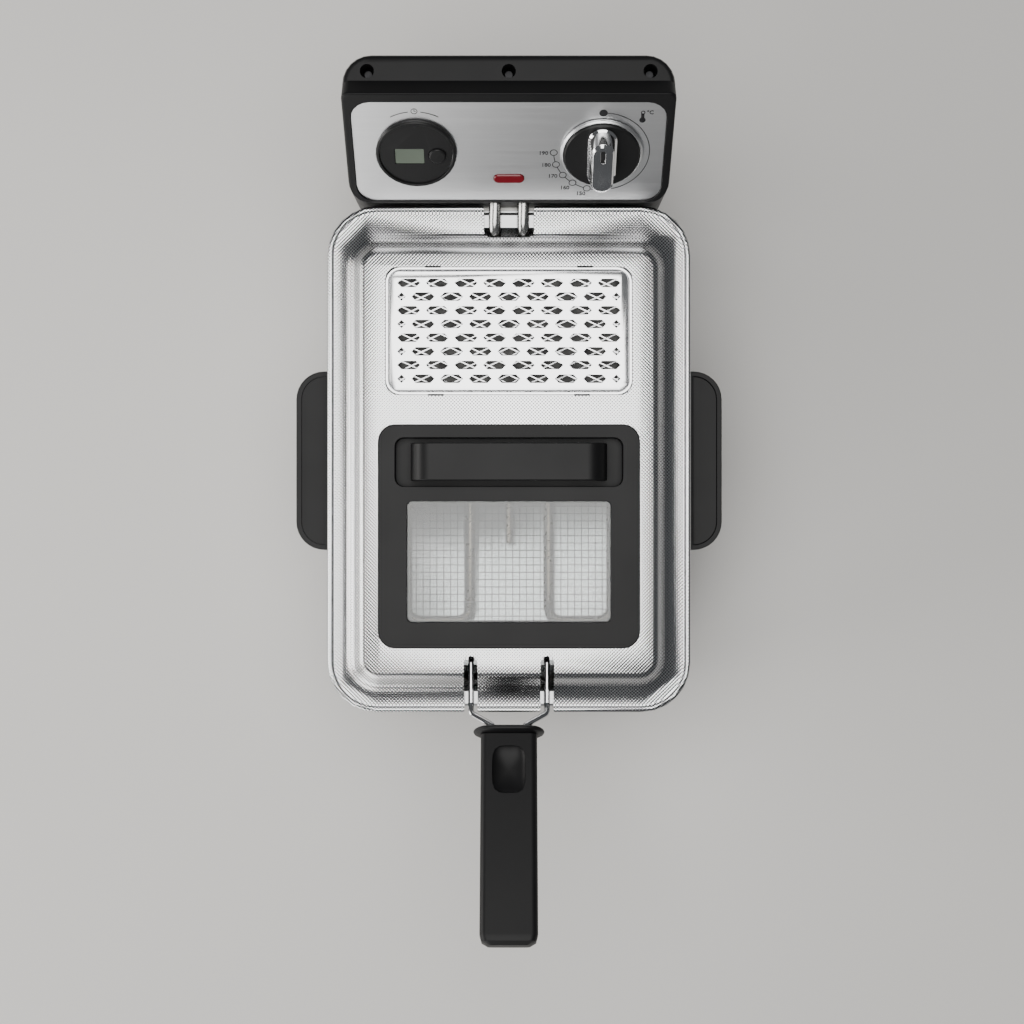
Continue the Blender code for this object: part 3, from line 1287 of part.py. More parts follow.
def build_insert(looks, lid):
    """The black panel let into the lid: flange, window opening with a ledge, and the handle's well."""
    place = (0, INSERT_CENTRE_Y)
    edge = INSERT_FLANGE + GAP
    body = rounded_rectangle(
        INSERT_WIDTH - 2 * edge, INSERT_LENGTH - 2 * edge, INSERT_CORNER - edge, place
    )
    flange = rounded_rectangle(INSERT_WIDTH, INSERT_LENGTH, INSERT_CORNER, place)
    soft = rounded_rectangle(INSERT_WIDTH - 1 * MM, INSERT_LENGTH - 1 * MM, INSERT_CORNER, place)
    seat = PLATEAU_Z + GAP
    top = INSERT_TOP_Z
    rings = [(body, INSERT_LOW_Z), (body, seat), (flange, seat), (flange, top - 0.5 * MM), (soft, top)]
    insert = finish("lid_insert", loft(rings), looks["black"], lid)
    well = (0, WELL_CENTRE_Y)
    wall = 2 * MM
    floor = WELL_FLOOR
    below = box(WELL_WIDTH + 2 * wall, WELL_LENGTH + 2 * wall, floor - wall, top - 2 * MM, well, 8 * MM)
    cut(insert, below, "UNION")
    cut(insert, box(WELL_WIDTH, WELL_LENGTH, floor, top + 5 * MM, well, 6 * MM))
    window = (0, WINDOW_CENTRE_Y)
    cut(insert, box(WINDOW_WIDTH, WINDOW_LENGTH, INSERT_LOW_Z - 5 * MM, top + 5 * MM, window, 3.5 * MM))
    pane_wide = WINDOW_WIDTH + 2 * PANE_MARGIN
    pane_long = WINDOW_LENGTH + 2 * PANE_MARGIN
    pane_top = INSERT_LOW_Z + SEAL_THICKNESS + PANE_THICKNESS + 2 * GAP
    seat_cut = box(
        pane_wide + 2 * GAP, pane_long + 2 * GAP, INSERT_LOW_Z - 5 * MM, pane_top + GAP, window, 3.5 * MM
    )
    cut(insert, seat_cut)
    pane_low = pane_top - PANE_THICKNESS
    finish(
        "window_pane", box(pane_wide, pane_long, pane_low, pane_top, window, 3.2 * MM), looks["glass"], lid
    )
    outer = rounded_rectangle(pane_wide, pane_long, 3.2 * MM, window)
    inner = rounded_rectangle(WINDOW_WIDTH - 2 * MM, WINDOW_LENGTH - 2 * MM, 3 * MM, window)
    low = INSERT_LOW_Z
    high = pane_low - GAP
    rings = [(outer, low), (outer, high), (inner, high), (inner, low)]
    finish("window_seal", loft(rings, closed=True), looks["rubber"], lid)


def build_lid_handle(looks, lid):
    """The bar across the well: an arch of constant thickness standing on the well's floor."""
    floor = WELL_FLOOR
    near = WELL_CENTRE_Y + BAR_DEPTH / 2
    low = -near
    outline = rounded_rectangle(BAR_SPAN, 2 * (BAR_TOP_Z - floor), 14 * MM, (0, floor), 6)
    bar = finish("lid_handle", along_y(prism(outline, low, low + BAR_DEPTH)), looks["black"], lid)
    t = BAR_THICKNESS
    outline = rounded_rectangle(BAR_SPAN - 2 * t, 2 * (BAR_TOP_Z - t - floor), 8 * MM, (0, floor), 6)
    cut(bar, along_y(prism(outline, low - 5 * MM, low + BAR_DEPTH + 5 * MM)))
    cut(bar, span_box((-0.2, 0.2), (-0.2, 0.2), (0, floor + GAP)))


# --- assembly ----------------------------------------------------------------------------------
def make_looks():
    return {
        "steel": material("brushed_steel", (0.62, 0.62, 0.61), 0.3, 1),
        "chrome": material("chrome_wire", (0.75, 0.75, 0.76), 0.12, 1),
        "zinc": material("zinc_screws", (0.5, 0.5, 0.5), 0.35, 1),
        "black": material("black_plastic", (0.02, 0.02, 0.022), 0.42),
        "rubber": material("dark_rubber", (0.03, 0.03, 0.03), 0.8),
        "foam": material("filter_foam", (0.03, 0.03, 0.03), 0.95),
        "red": material("red_lens", (0.25, 0.01, 0.02), 0.2),
        "white": material("white_block", (0.75, 0.74, 0.7), 0.5),
        "display": material("display_grey", (0.3, 0.34, 0.3), 0.25),
        "glass": material("window_glass", (0.8, 0.85, 0.84), 0.05),
    }


def main():
    clear_scene()
    looks = make_looks()
    frame = empty("fryer_frame", (0, SHIFT_Y, 0))
    build_housing(looks, frame)
    build_tray(looks, frame)
    build_feet(looks, frame)
    build_ears(looks, frame)
    build_rail(looks, frame)
    bowl_lift = build_bowl(looks, frame)
    bowl = empty("bowl_frame", (0, 0, -FLANGE_Z), bowl_lift)
    unit = empty("unit_lift", (0, 0, 0), bowl)
    build_unit_shell(looks, unit)
    build_bezel(looks, unit)
    slope = fascia_frame(unit)
    build_fascia(looks, slope)
    build_timer(looks, slope)
    build_knob(looks, slope)
    build_behind_fascia(looks, slope)
    build_tongue(looks, unit)
    build_element(looks, unit)
    build_sensor(looks, unit)
    build_unit_inside(looks, unit)
    basket = empty("basket_lift", (0, 0, 0), unit)
    build_basket(looks, basket)
    build_handle_wire(looks, basket)
    build_grip(looks, basket)
    lid = empty("lid_lift", (0, 0, 0), basket)
    build_lid_shell(looks, lid)
    build_filter(looks, lid)
    build_insert(looks, lid)
    build_lid_handle(looks, lid)
    bpy.context.view_layer.update()


main()
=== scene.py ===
"""Looks of the deep fryer: finishes, wire work, printed marks and stage, round its fixed frame."""

import json
import math

import bmesh
import bpy
from mathutils import Matrix, Vector

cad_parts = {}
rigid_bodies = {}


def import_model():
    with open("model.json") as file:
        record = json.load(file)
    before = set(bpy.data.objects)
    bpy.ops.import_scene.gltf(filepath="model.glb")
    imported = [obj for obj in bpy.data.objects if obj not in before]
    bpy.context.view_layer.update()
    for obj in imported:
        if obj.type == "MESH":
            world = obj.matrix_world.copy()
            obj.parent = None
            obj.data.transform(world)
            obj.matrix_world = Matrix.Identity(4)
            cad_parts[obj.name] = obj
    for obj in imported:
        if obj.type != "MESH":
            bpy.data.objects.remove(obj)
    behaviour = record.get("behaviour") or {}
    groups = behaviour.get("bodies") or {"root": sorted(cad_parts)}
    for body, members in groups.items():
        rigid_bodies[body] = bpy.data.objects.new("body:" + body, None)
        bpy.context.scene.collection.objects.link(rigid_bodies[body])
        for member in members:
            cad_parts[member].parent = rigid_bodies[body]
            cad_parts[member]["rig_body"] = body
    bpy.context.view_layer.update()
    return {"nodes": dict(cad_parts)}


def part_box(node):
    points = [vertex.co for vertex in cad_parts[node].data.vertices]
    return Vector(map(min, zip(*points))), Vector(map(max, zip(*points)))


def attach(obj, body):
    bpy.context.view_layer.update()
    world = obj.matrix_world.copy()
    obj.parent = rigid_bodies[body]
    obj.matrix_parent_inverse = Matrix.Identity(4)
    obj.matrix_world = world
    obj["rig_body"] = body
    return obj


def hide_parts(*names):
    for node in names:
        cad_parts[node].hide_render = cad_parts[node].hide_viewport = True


bl_info = {
    "name": "Deep Fryer Looks",
    "version": (1, 0, 0),
    "blender": (4, 5, 0),
    "location": "View3D > Sidebar > Deep Fryer",
    "description": "Finishes, wire work and printed marks of a deep fryer with a lift-off control unit",
    "category": "Object",
}

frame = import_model()
SLOT_OF = {name: node.data.materials[0].name for name, node in frame["nodes"].items()}
MM = 0.001

# The fascia's own frame: x to the right, y up the slope, z out of the plate.
FASCIA_TILT = math.radians(50)
FASCIA_CENTRE = sum(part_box("fascia_plate"), Vector()) / 2
FASCIA_FRAME = Matrix(
    (
        (1, 0, 0, FASCIA_CENTRE.x),
        (0, math.cos(FASCIA_TILT), -math.sin(FASCIA_TILT), FASCIA_CENTRE.y),
        (0, math.sin(FASCIA_TILT), math.cos(FASCIA_TILT), FASCIA_CENTRE.z),
        (0, 0, 0, 1),
    )
)
TIMER_X = -62 * MM
KNOB_X = 62 * MM
INK_THICKNESS = 0.08 * MM
INK_LIFT = 0.02 * MM

# Places on the fascia, along its y, and across from the knob
TIMER_TICK_Y = 22.2 * MM
TIMER_SIGN_Y = 33.4 * MM
THERMOMETER_X = KNOB_X + 25.8 * MM
DEGREES_Y = 32.4 * MM

# The basket's solid, as its wires follow it
BASKET_CORNER = 24 * MM
BASKET_FLOOR_ROUND = 12 * MM
BASKET_TAPER = 6 * MM


# ---------------------------------------------------------------- settings


class FinishSettings(bpy.types.PropertyGroup):
    """Colours and textures of the fryer's finishes."""

    steel_colour: bpy.props.FloatVectorProperty(
        name="Steel colour", description="Colour of the bare steel", subtype="COLOR",
        size=3, min=0, max=1, default=(0.80, 0.805, 0.815),
    )
    lid_roughness: bpy.props.FloatProperty(
        name="Lid roughness", description="Roughness of the embossed lid", subtype="FACTOR",
        min=0, max=1, default=0.22,
    )
    dot_pitch: bpy.props.FloatProperty(
        name="Dot pitch", description="Distance between two embossed dots in a row",
        subtype="DISTANCE", unit="LENGTH", min=0.0005, default=2.4 * MM,
    )
    plastic_colour: bpy.props.FloatVectorProperty(
        name="Plastic colour", description="Colour of the moulded housings", subtype="COLOR",
        size=3, min=0, max=1, default=(0.007, 0.007, 0.0075),
    )
    dial_colour: bpy.props.FloatVectorProperty(
        name="Dial colour", description="Colour of the timer and the knob disc", subtype="COLOR",
        size=3, min=0, max=1, default=(0.014, 0.014, 0.0145),
    )
    display_colour: bpy.props.FloatVectorProperty(
        name="Display colour", description="Colour of the unlit timer display", subtype="COLOR",
        size=3, min=0, max=1, default=(0.13, 0.155, 0.125),
    )
    lens_colour: bpy.props.FloatVectorProperty(
        name="Lens colour", description="Colour of the unlit indicator lens", subtype="COLOR",
        size=3, min=0, max=1, default=(0.16, 0.008, 0.014),
    )


class WireSettings(bpy.types.PropertyGroup):
    """Sizes of the basket's wires and of the filter's expanded metal."""

    basket_pitch: bpy.props.FloatProperty(
        name="Basket pitch", description="Distance between two wires of the basket",
        subtype="DISTANCE", unit="LENGTH", min=0.003, default=5.5 * MM,
    )
    basket_wire: bpy.props.FloatProperty(
        name="Basket wire", description="Thickness of the basket's wires",
        subtype="DISTANCE", unit="LENGTH", min=0.0003, default=0.9 * MM,
    )
    cell_length: bpy.props.FloatProperty(
        name="Cell length", description="Length of one diamond of the expanded metal",
        subtype="DISTANCE", unit="LENGTH", min=0.003, default=13.4 * MM,
    )
    cell_width: bpy.props.FloatProperty(
        name="Cell width", description="Width of one diamond of the expanded metal",
        subtype="DISTANCE", unit="LENGTH", min=0.002, default=6.25 * MM,
    )
    strip_width: bpy.props.FloatProperty(
        name="Strip width", description="Width of the expanded metal's strips",
        subtype="DISTANCE", unit="LENGTH", min=0.0004, default=1.0 * MM,
    )


class MarkSettings(bpy.types.PropertyGroup):
    """Sizes of the marks printed on the fascia."""

    scale_radius: bpy.props.FloatProperty(
        name="Scale radius", description="Radius of the temperature scale",
        subtype="DISTANCE", unit="LENGTH", min=0.02, default=32.0 * MM,
    )
    scale_numerals: bpy.props.FloatProperty(
        name="Numeral size", description="Height of the numbers on the temperature scale",
        subtype="DISTANCE", unit="LENGTH", min=0.001, default=4.3 * MM,
    )
    scale_line: bpy.props.FloatProperty(
        name="Line width", description="Width of the printed lines",
        subtype="DISTANCE", unit="LENGTH", min=0.0001, default=0.55 * MM,
    )
    ink_colour: bpy.props.FloatVectorProperty(
        name="Ink colour", description="Colour of the printed marks", subtype="COLOR",
        size=3, min=0, max=1, default=(0.02, 0.02, 0.022),
    )


class StageSettings(bpy.types.PropertyGroup):
    """Camera, light and floor."""

    camera_place: bpy.props.FloatVectorProperty(
        name="Camera place", description="Where the camera hangs over the fryer",
        subtype="TRANSLATION", unit="LENGTH", size=3, default=(0.0021, -0.0059, 1.400),
    )
    focal_length: bpy.props.FloatProperty(
        name="Focal length", description="Focal length of the camera in millimetres",
        min=20, default=61.1,
    )
    floor_colour: bpy.props.FloatVectorProperty(
        name="Floor colour", description="Colour of the floor", subtype="COLOR",
        size=3, min=0, max=1, default=(0.80, 0.785, 0.76),
    )
    overhead_power: bpy.props.FloatProperty(
        name="Overhead power", description="Power of the large overhead softbox in watts",
        min=0, default=52,
    )
    side_power: bpy.props.FloatProperty(
        name="Side power", description="Power of the softbox at the left in watts",
        min=0, default=34,
    )
    front_power: bpy.props.FloatProperty(
        name="Front power", description="Power of the softbox at the front left in watts",
        min=0, default=30,
    )
    fill_strength: bpy.props.FloatProperty(
        name="Fill", description="Strength of the even light all round", min=0, default=0.10,
    )


# ---------------------------------------------------------------- helpers


def choose(piece):
    """Leaves one object selected and active."""
    if bpy.context.mode != "OBJECT":
        bpy.ops.object.mode_set(mode="OBJECT")
    bpy.ops.object.select_all(action="DESELECT")
    piece.hide_set(False)
    piece.select_set(True)
    bpy.context.view_layer.objects.active = piece
    return piece


def settle(piece):
    """Puts a piece's place into its mesh."""
    choose(piece)
    bpy.ops.object.transform_apply(location=True, rotation=True, scale=True)
    return piece


def place(piece, matrix):
    """Moves a piece's mesh by a matrix."""
    piece.data.transform(matrix)
    piece.data.update()
    return piece


def select_faces(piece, test):
    """In edit mode, selects the faces that pass a test of centre and normal."""
    mesh = bmesh.from_edit_mesh(piece.data)
    bpy.ops.mesh.select_all(action="DESELECT")
    bpy.ops.mesh.select_mode(type="FACE")
    for face in mesh.faces:
        face.select_set(test(face.calc_center_median(), face.normal))
    bmesh.update_edit_mesh(piece.data)


def select_edges(piece, test):
    """In edit mode, selects the edges that pass a test of their two ends."""
    mesh = bmesh.from_edit_mesh(piece.data)
    bpy.ops.mesh.select_mode(type="EDGE")
    bpy.ops.mesh.select_all(action="DESELECT")
    for edge in mesh.edges:
        edge.select_set(test(edge.verts[0].co, edge.verts[1].co))
    bmesh.update_edit_mesh(piece.data)


def apply_modifier(piece, kind, **values):
    """Adds one modifier with these values and applies it."""
    choose(piece)
    modifier = piece.modifiers.new(kind.title(), kind)
    for name, value in values.items():
        setattr(modifier, name, value)
    bpy.ops.object.modifier_apply(modifier=modifier.name)
    return piece


def smooth(piece, degrees=35):
    """Shades a piece smooth, with edges sharper than this left crisp."""
    choose(piece)
    bpy.ops.object.shade_smooth_by_angle(angle=math.radians(degrees))
    return piece


def ride(piece, body, slot, finish, *nodes):
    """Gives a piece its finish and body, and hides the frame nodes it stands for; the slot is not used."""
    piece.data.materials.clear()
    piece.data.materials.append(finish)
    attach(piece, body)
    if nodes:
        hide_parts(*nodes)
    return piece


def body_of(node):
    return frame["nodes"][node]["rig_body"]


def refined(node, name, bevel=0.0, segments=2, degrees=35, limit=30):
    """A merged copy of a frame node, its flat faces made whole, its edges rounded and its shading smooth."""
    source = frame["nodes"][node]
    piece = bpy.data.objects.new(name, source.data.copy())
    for key in list(piece.data.keys()):
        del piece.data[key]
    bpy.context.scene.collection.objects.link(piece)
    choose(piece)
    bpy.ops.object.mode_set(mode="EDIT")
    bpy.ops.mesh.select_all(action="SELECT")
    bpy.ops.mesh.remove_doubles(threshold=0.004 * MM)
    bpy.ops.mesh.dissolve_limited(angle_limit=math.radians(0.4))
    bpy.ops.mesh.normals_make_consistent(inside=False)
    bpy.ops.object.mode_set(mode="OBJECT")
    if bevel:
        apply_modifier(
            piece, "BEVEL", width=bevel, segments=segments, limit_method="ANGLE",
            angle_limit=math.radians(limit), use_clamp_overlap=True, miter_outer="MITER_ARC",
        )
        smooth(piece, 60)
        apply_modifier(piece, "WEIGHTED_NORMAL", keep_sharp=True, weight=80)
    else:
        smooth(piece, degrees)
    return piece


# ---------------------------------------------------------------- shared effects


def new_group(name, inputs, outputs):
    """A shader node group with named float or vector inputs and float outputs."""
    group = bpy.data.node_groups.new(name, "ShaderNodeTree")
    for socket, kind, default in inputs:
        made = group.interface.new_socket(socket, in_out="INPUT", socket_type=kind)
        if default is not None:
            made.default_value = default
    for socket in outputs:
        group.interface.new_socket(socket, in_out="OUTPUT", socket_type="NodeSocketFloat")
    start = group.nodes.new("NodeGroupInput")
    end = group.nodes.new("NodeGroupOutput")
    return group, start, end


def math_node(tree, operation, first, second=None, third=None, clamp=False):
    """A Math node whose inputs are sockets or numbers; its output."""
    node = tree.nodes.new("ShaderNodeMath")
    node.operation = operation
    node.use_clamp = clamp
    for index, value in enumerate((first, second, third)):
        if value is None:
            continue
        if isinstance(value, (int, float)):
            node.inputs[index].default_value = value
        else:
            tree.links.new(value, node.inputs[index])
    return node.outputs[0]


def noise_node(tree, vector, scale, detail=4.0, roughness=0.55):
    node = tree.nodes.new("ShaderNodeTexNoise")
    node.inputs["Detail"].default_value = detail
    node.inputs["Roughness"].default_value = roughness
    if isinstance(scale, (int, float)):
        node.inputs["Scale"].default_value = scale
    else:
        tree.links.new(scale, node.inputs["Scale"])
    tree.links.new(vector, node.inputs["Vector"])
    return node.outputs[0]


def make_dot_emboss():
    """Staggered rows of small raised dots, read from above."""
    group, start, end = new_group(
        "dot_emboss",
        [("Vector", "NodeSocketVector", None), ("Pitch", "NodeSocketFloat", 1.85 * MM)],
        ["Height"],
    )
    parts = group.nodes.new("ShaderNodeSeparateXYZ")
    group.links.new(start.outputs["Vector"], parts.inputs[0])
    turns = math_node(group, "DIVIDE", 2 * math.pi, start.outputs["Pitch"])
    across = math_node(group, "COSINE", math_node(group, "MULTIPLY", parts.outputs[0], turns))
    along = math_node(group, "COSINE", math_node(group, "MULTIPLY", parts.outputs[1], turns))
    height = math_node(group, "MULTIPLY", across, along)
    group.links.new(math_node(group, "MULTIPLY_ADD", height, 0.5, 0.5), end.inputs["Height"])
    return group


def make_brushing():
    """Fine parallel scratches, drawn along the axis that the vector was squeezed on."""
    group, start, end = new_group(
        "brushing",
        [("Vector", "NodeSocketVector", None), ("Scale", "NodeSocketFloat", 60.0)],
        ["Streaks", "Height"],
    )
    coarse = noise_node(group, start.outputs["Vector"], start.outputs["Scale"], 3.0, 0.6)
    finer = math_node(group, "MULTIPLY", start.outputs["Scale"], 7.0)
    fine = noise_node(group, start.outputs["Vector"], finer, 2.0, 0.7)
    both = math_node(group, "ADD", math_node(group, "MULTIPLY", coarse, 0.55),
                     math_node(group, "MULTIPLY", fine, 0.45))
    group.links.new(both, end.inputs["Streaks"])
    group.links.new(fine, end.inputs["Height"])
    return group


def make_moulded_grain():
    """The fine spark-eroded grain of a moulded plastic part."""
    group, start, end = new_group(
        "moulded_grain",
        [("Vector", "NodeSocketVector", None), ("Scale", "NodeSocketFloat", 900.0)],
        ["Height", "Sheen"],
    )
    grain = noise_node(group, start.outputs["Vector"], start.outputs["Scale"], 2.0, 0.6)
    wide = noise_node(group, start.outputs["Vector"], 22.0, 3.0, 0.5)
    group.links.new(grain, end.inputs["Height"])
    group.links.new(wide, end.inputs["Sheen"])
    return group


def make_rubbed_and_highlit_edges():
    """A mask of the outer edges, for rubbed wear and a painted edge highlight, broken up by noise."""
    group, start, end = new_group(
        "rubbed_and_highlit_edges",
        [("Vector", "NodeSocketVector", None), ("Amount", "NodeSocketFloat", 0.5)],
        ["Mask"],
    )
    geometry = group.nodes.new("ShaderNodeNewGeometry")
    edge = group.nodes.new("ShaderNodeMapRange")
    edge.inputs["From Min"].default_value = 0.52
    edge.inputs["From Max"].default_value = 0.60
    group.links.new(geometry.outputs["Pointiness"], edge.inputs["Value"])
    broken = noise_node(group, start.outputs["Vector"], 160.0, 4.0, 0.6)
    mask = math_node(group, "MULTIPLY", edge.outputs[0], broken)
    group.links.new(
        math_node(group, "MULTIPLY", mask, start.outputs["Amount"], clamp=True),
        end.inputs["Mask"],
    )
    return group


def make_handling():
    """Broad faint smudges, as from wiping and fingers."""
    group, start, end = new_group(
        "handling",
        [("Vector", "NodeSocketVector", None), ("Scale", "NodeSocketFloat", 14.0)],
        ["Smudge"],
    )
    smudge = noise_node(group, start.outputs["Vector"], start.outputs["Scale"], 5.0, 0.55)
    spread = group.nodes.new("ShaderNodeMapRange")
    spread.inputs["From Min"].default_value = 0.35
    spread.inputs["From Max"].default_value = 0.70
    group.links.new(smudge, spread.inputs["Value"])
    group.links.new(spread.outputs[0], end.inputs["Smudge"])
    return group


EFFECTS = {}


def make_effects():
    EFFECTS["dots"] = make_dot_emboss()
    EFFECTS["brushing"] = make_brushing()
    EFFECTS["grain"] = make_moulded_grain()
    EFFECTS["wear_and_highlight"] = make_rubbed_and_highlit_edges()
    EFFECTS["handling"] = make_handling()


# ---------------------------------------------------------------- finishes

FINISHES = {}


class Finish:
    """One material while it is being wired: its tree, its shader and the surface's own coordinates."""

    def __init__(self, name, colour, metallic, roughness, **values):
        self.material = bpy.data.materials.new(name)
        self.material.use_nodes = True
        self.tree = self.material.node_tree
        self.tree.nodes.clear()
        output = self.tree.nodes.new("ShaderNodeOutputMaterial")
        self.shader = self.tree.nodes.new("ShaderNodeBsdfPrincipled")
        self.tree.links.new(self.shader.outputs[0], output.inputs["Surface"])
        self.where = self.tree.nodes.new("ShaderNodeTexCoord").outputs["Object"]
        self.shader.inputs["Base Color"].default_value = (*colour, 1)
        self.shader.inputs["Metallic"].default_value = metallic
        self.shader.inputs["Roughness"].default_value = roughness
        for socket, value in values.items():
            self.shader.inputs[socket.replace("_", " ")].default_value = value
        FINISHES[name] = self.material

    def stretched(self, x, y, z):
        """The coordinates squeezed along each axis."""
        node = self.tree.nodes.new("ShaderNodeMapping")
        node.inputs["Scale"].default_value = (x, y, z)
        self.tree.links.new(self.where, node.inputs["Vector"])
        return node.outputs[0]

    def effect(self, name, vector=None, **values):
        node = self.tree.nodes.new("ShaderNodeGroup")
        node.node_tree = EFFECTS[name]
        self.tree.links.new(vector or self.where, node.inputs["Vector"])
        for socket, value in values.items():
            node.inputs[socket].default_value = value
        return node.outputs

    def noise(self, scale, vector=None, detail=4.0):
        return noise_node(self.tree, vector or self.where, scale, detail)

    def vary_roughness(self, mask, low, high):
        node = self.tree.nodes.new("ShaderNodeMapRange")
        node.inputs["To Min"].default_value = low
        node.inputs["To Max"].default_value = high
        self.tree.links.new(mask, node.inputs["Value"])
        self.tree.links.new(node.outputs[0], self.shader.inputs["Roughness"])
        return self

    def vary_colour(self, mask, *colours):
        """A ramp of colours over the mask.

        They are spread evenly, or each stands at the position that its fourth number gives.
        """
        ramp = self.tree.nodes.new("ShaderNodeValToRGB")
        stops = ramp.color_ramp.elements
        while len(stops) < len(colours):
            stops.new(0.5)
        for index, colour in enumerate(colours):
            given = len(colour) == 4
            stops[index].position = colour[3] if given else index / (len(colours) - 1)
            stops[index].color = (*colour[:3], 1)
        self.tree.links.new(mask, ramp.inputs[0])
        return self.blend_colour(ramp.outputs[0])

    def blend_colour(self, colour, mask=None):
        """Sets the base colour, or lays a colour over it where the mask says."""
        socket = self.shader.inputs["Base Color"]
        if mask is None:
            self.tree.links.new(colour, socket)
            return self
        mix = self.tree.nodes.new("ShaderNodeMix")
        mix.data_type = "RGBA"
        if socket.is_linked:
            self.tree.links.new(socket.links[0].from_socket, mix.inputs[6])
        else:
            mix.inputs[6].default_value = socket.default_value
        if isinstance(colour, tuple):
            mix.inputs[7].default_value = (*colour, 1)
        else:
            self.tree.links.new(colour, mix.inputs[7])
        self.tree.links.new(mask, mix.inputs[0])
        self.tree.links.new(mix.outputs[2], socket)
        return self

    def bump(self, height, distance, strength=1.0):
        """One more layer of relief, in metres."""
        node = self.tree.nodes.new("ShaderNodeBump")
        node.inputs["Distance"].default_value = distance
        node.inputs["Strength"].default_value = strength
        self.tree.links.new(height, node.inputs["Height"])
        socket = self.shader.inputs["Normal"]
        if socket.is_linked:
            self.tree.links.new(socket.links[0].from_socket, node.inputs["Normal"])
        self.tree.links.new(node.outputs[0], socket)
        return self


def shade(colour, factor):
    return tuple(min(1.0, part * factor) for part in colour)


def steel_finishes(look):
    steel = tuple(look.steel_colour)
    lid = Finish("embossed_steel", steel, 1.0, look.lid_roughness)
    dots = lid.effect("dots", Pitch=look.dot_pitch)["Height"]
    smudge = lid.effect("handling", Scale=9.0)["Smudge"]
    # Painted shade and highlight: by the relief's height, the dot valleys are painted darker and the dot
    # tops brighter than the steel.
    lid.vary_colour(dots, (*shade(steel, 0.24), 0.26), (*shade(steel, 1.12), 0.66))
    lid.vary_roughness(smudge, look.lid_roughness - 0.02, look.lid_roughness + 0.05)
    lid.bump(dots, 0.12 * MM, 1.0)

    shell = Finish("housing_steel", shade(steel, 0.86), 1.0, 0.30)
    brushed = shell.effect("brushing", shell.stretched(0.02, 0.02, 1.0), Scale=260.0)
    shell.vary_colour(brushed["Streaks"], shade(steel, 0.72), shade(steel, 0.98))
    shell.vary_roughness(shell.effect("handling", Scale=7.0)["Smudge"], 0.26, 0.36)
    shell.bump(brushed["Height"], 0.01 * MM, 0.5)

    bowl = Finish("bowl_steel", shade(steel, 0.56), 1.0, 0.22)
    wiped = bowl.effect("handling", Scale=11.0)["Smudge"]
    bowl.vary_colour(wiped, shade(steel, 0.50), shade(steel, 0.62))
    bowl.vary_roughness(wiped, 0.17, 0.30)
    bowl.bump(bowl.noise(700.0), 0.01 * MM, 0.4)

    plate = Finish("satin_fascia", shade(steel, 0.92), 1.0, 0.34)
    lines = plate.effect("brushing", plate.stretched(0.012, 1.0, 1.0), Scale=420.0)
    plate.vary_colour(lines["Streaks"], shade(steel, 0.84), shade(steel, 1.0))
    plate.vary_roughness(lines["Streaks"], 0.28, 0.42)
    plate.bump(lines["Height"], 0.008 * MM, 0.5)

    polished = Finish("filter_steel", shade(steel, 1.10), 1.0, 0.16)
    rubbed = polished.effect("handling", Scale=18.0)["Smudge"]
    polished.vary_colour(rubbed, shade(steel, 1.02), shade(steel, 1.15))
    polished.vary_roughness(rubbed, 0.12, 0.24)
    polished.bump(polished.noise(900.0), 0.006 * MM, 0.4)

    element = Finish("element_steel", (0.50, 0.49, 0.47), 1.0, 0.24)
    # Darker and browner towards the bottom of the tubes, by height.
    height = element.tree.nodes.new("ShaderNodeSeparateXYZ")
    element.tree.links.new(element.where, height.inputs[0])
    drop = element.tree.nodes.new("ShaderNodeMapRange")
    drop.inputs["From Min"].default_value = 0.06
    drop.inputs["From Max"].default_value = 0.17
    element.tree.links.new(height.outputs[2], drop.inputs["Value"])
    element.vary_colour(drop.outputs[0], (0.20, 0.165, 0.13), (0.30, 0.26, 0.21), (0.55, 0.55, 0.54))
    element.vary_roughness(element.noise(240.0), 0.18, 0.34)
    element.bump(element.noise(1300.0), 0.01 * MM, 0.4)

    # Near-black screw finish: an oxide colour of the screws, and also painted shade for the dark bottoms of
    # their deep wells.
    black = Finish("black_screw", (0.02, 0.02, 0.021), 1.0, 0.42)
    oxide = black.noise(300.0)
    black.vary_colour(oxide, (0.012, 0.012, 0.013), (0.05, 0.05, 0.052))
    black.vary_roughness(oxide, 0.34, 0.52)
    black.bump(black.noise(1800.0), 0.01 * MM, 0.5)

    plated = Finish("zinc", (0.62, 0.61, 0.58), 1.0, 0.34)
    bloom = plated.noise(120.0)
    plated.vary_colour(bloom, (0.50, 0.49, 0.46), (0.70, 0.70, 0.68))
    plated.vary_roughness(bloom, 0.26, 0.46)
    plated.bump(plated.noise(1500.0), 0.01 * MM, 0.4)


def chrome_finishes():
    trim = Finish("chrome_trim", (0.86, 0.86, 0.87), 1.0, 0.07)
    touched = trim.effect("handling", Scale=60.0)["Smudge"]
    trim.vary_colour(touched, (0.82, 0.82, 0.83), (0.90, 0.90, 0.91))
    trim.vary_roughness(touched, 0.05, 0.14)
    wire = Finish("chrome_wire", (0.70, 0.70, 0.71), 1.0, 0.12)
    plating = wire.noise(160.0)
    wire.vary_colour(plating, (0.64, 0.64, 0.65), (0.78, 0.78, 0.79))
    wire.vary_roughness(plating, 0.07, 0.19)
    wire.bump(wire.noise(900.0), 0.01 * MM, 0.3)


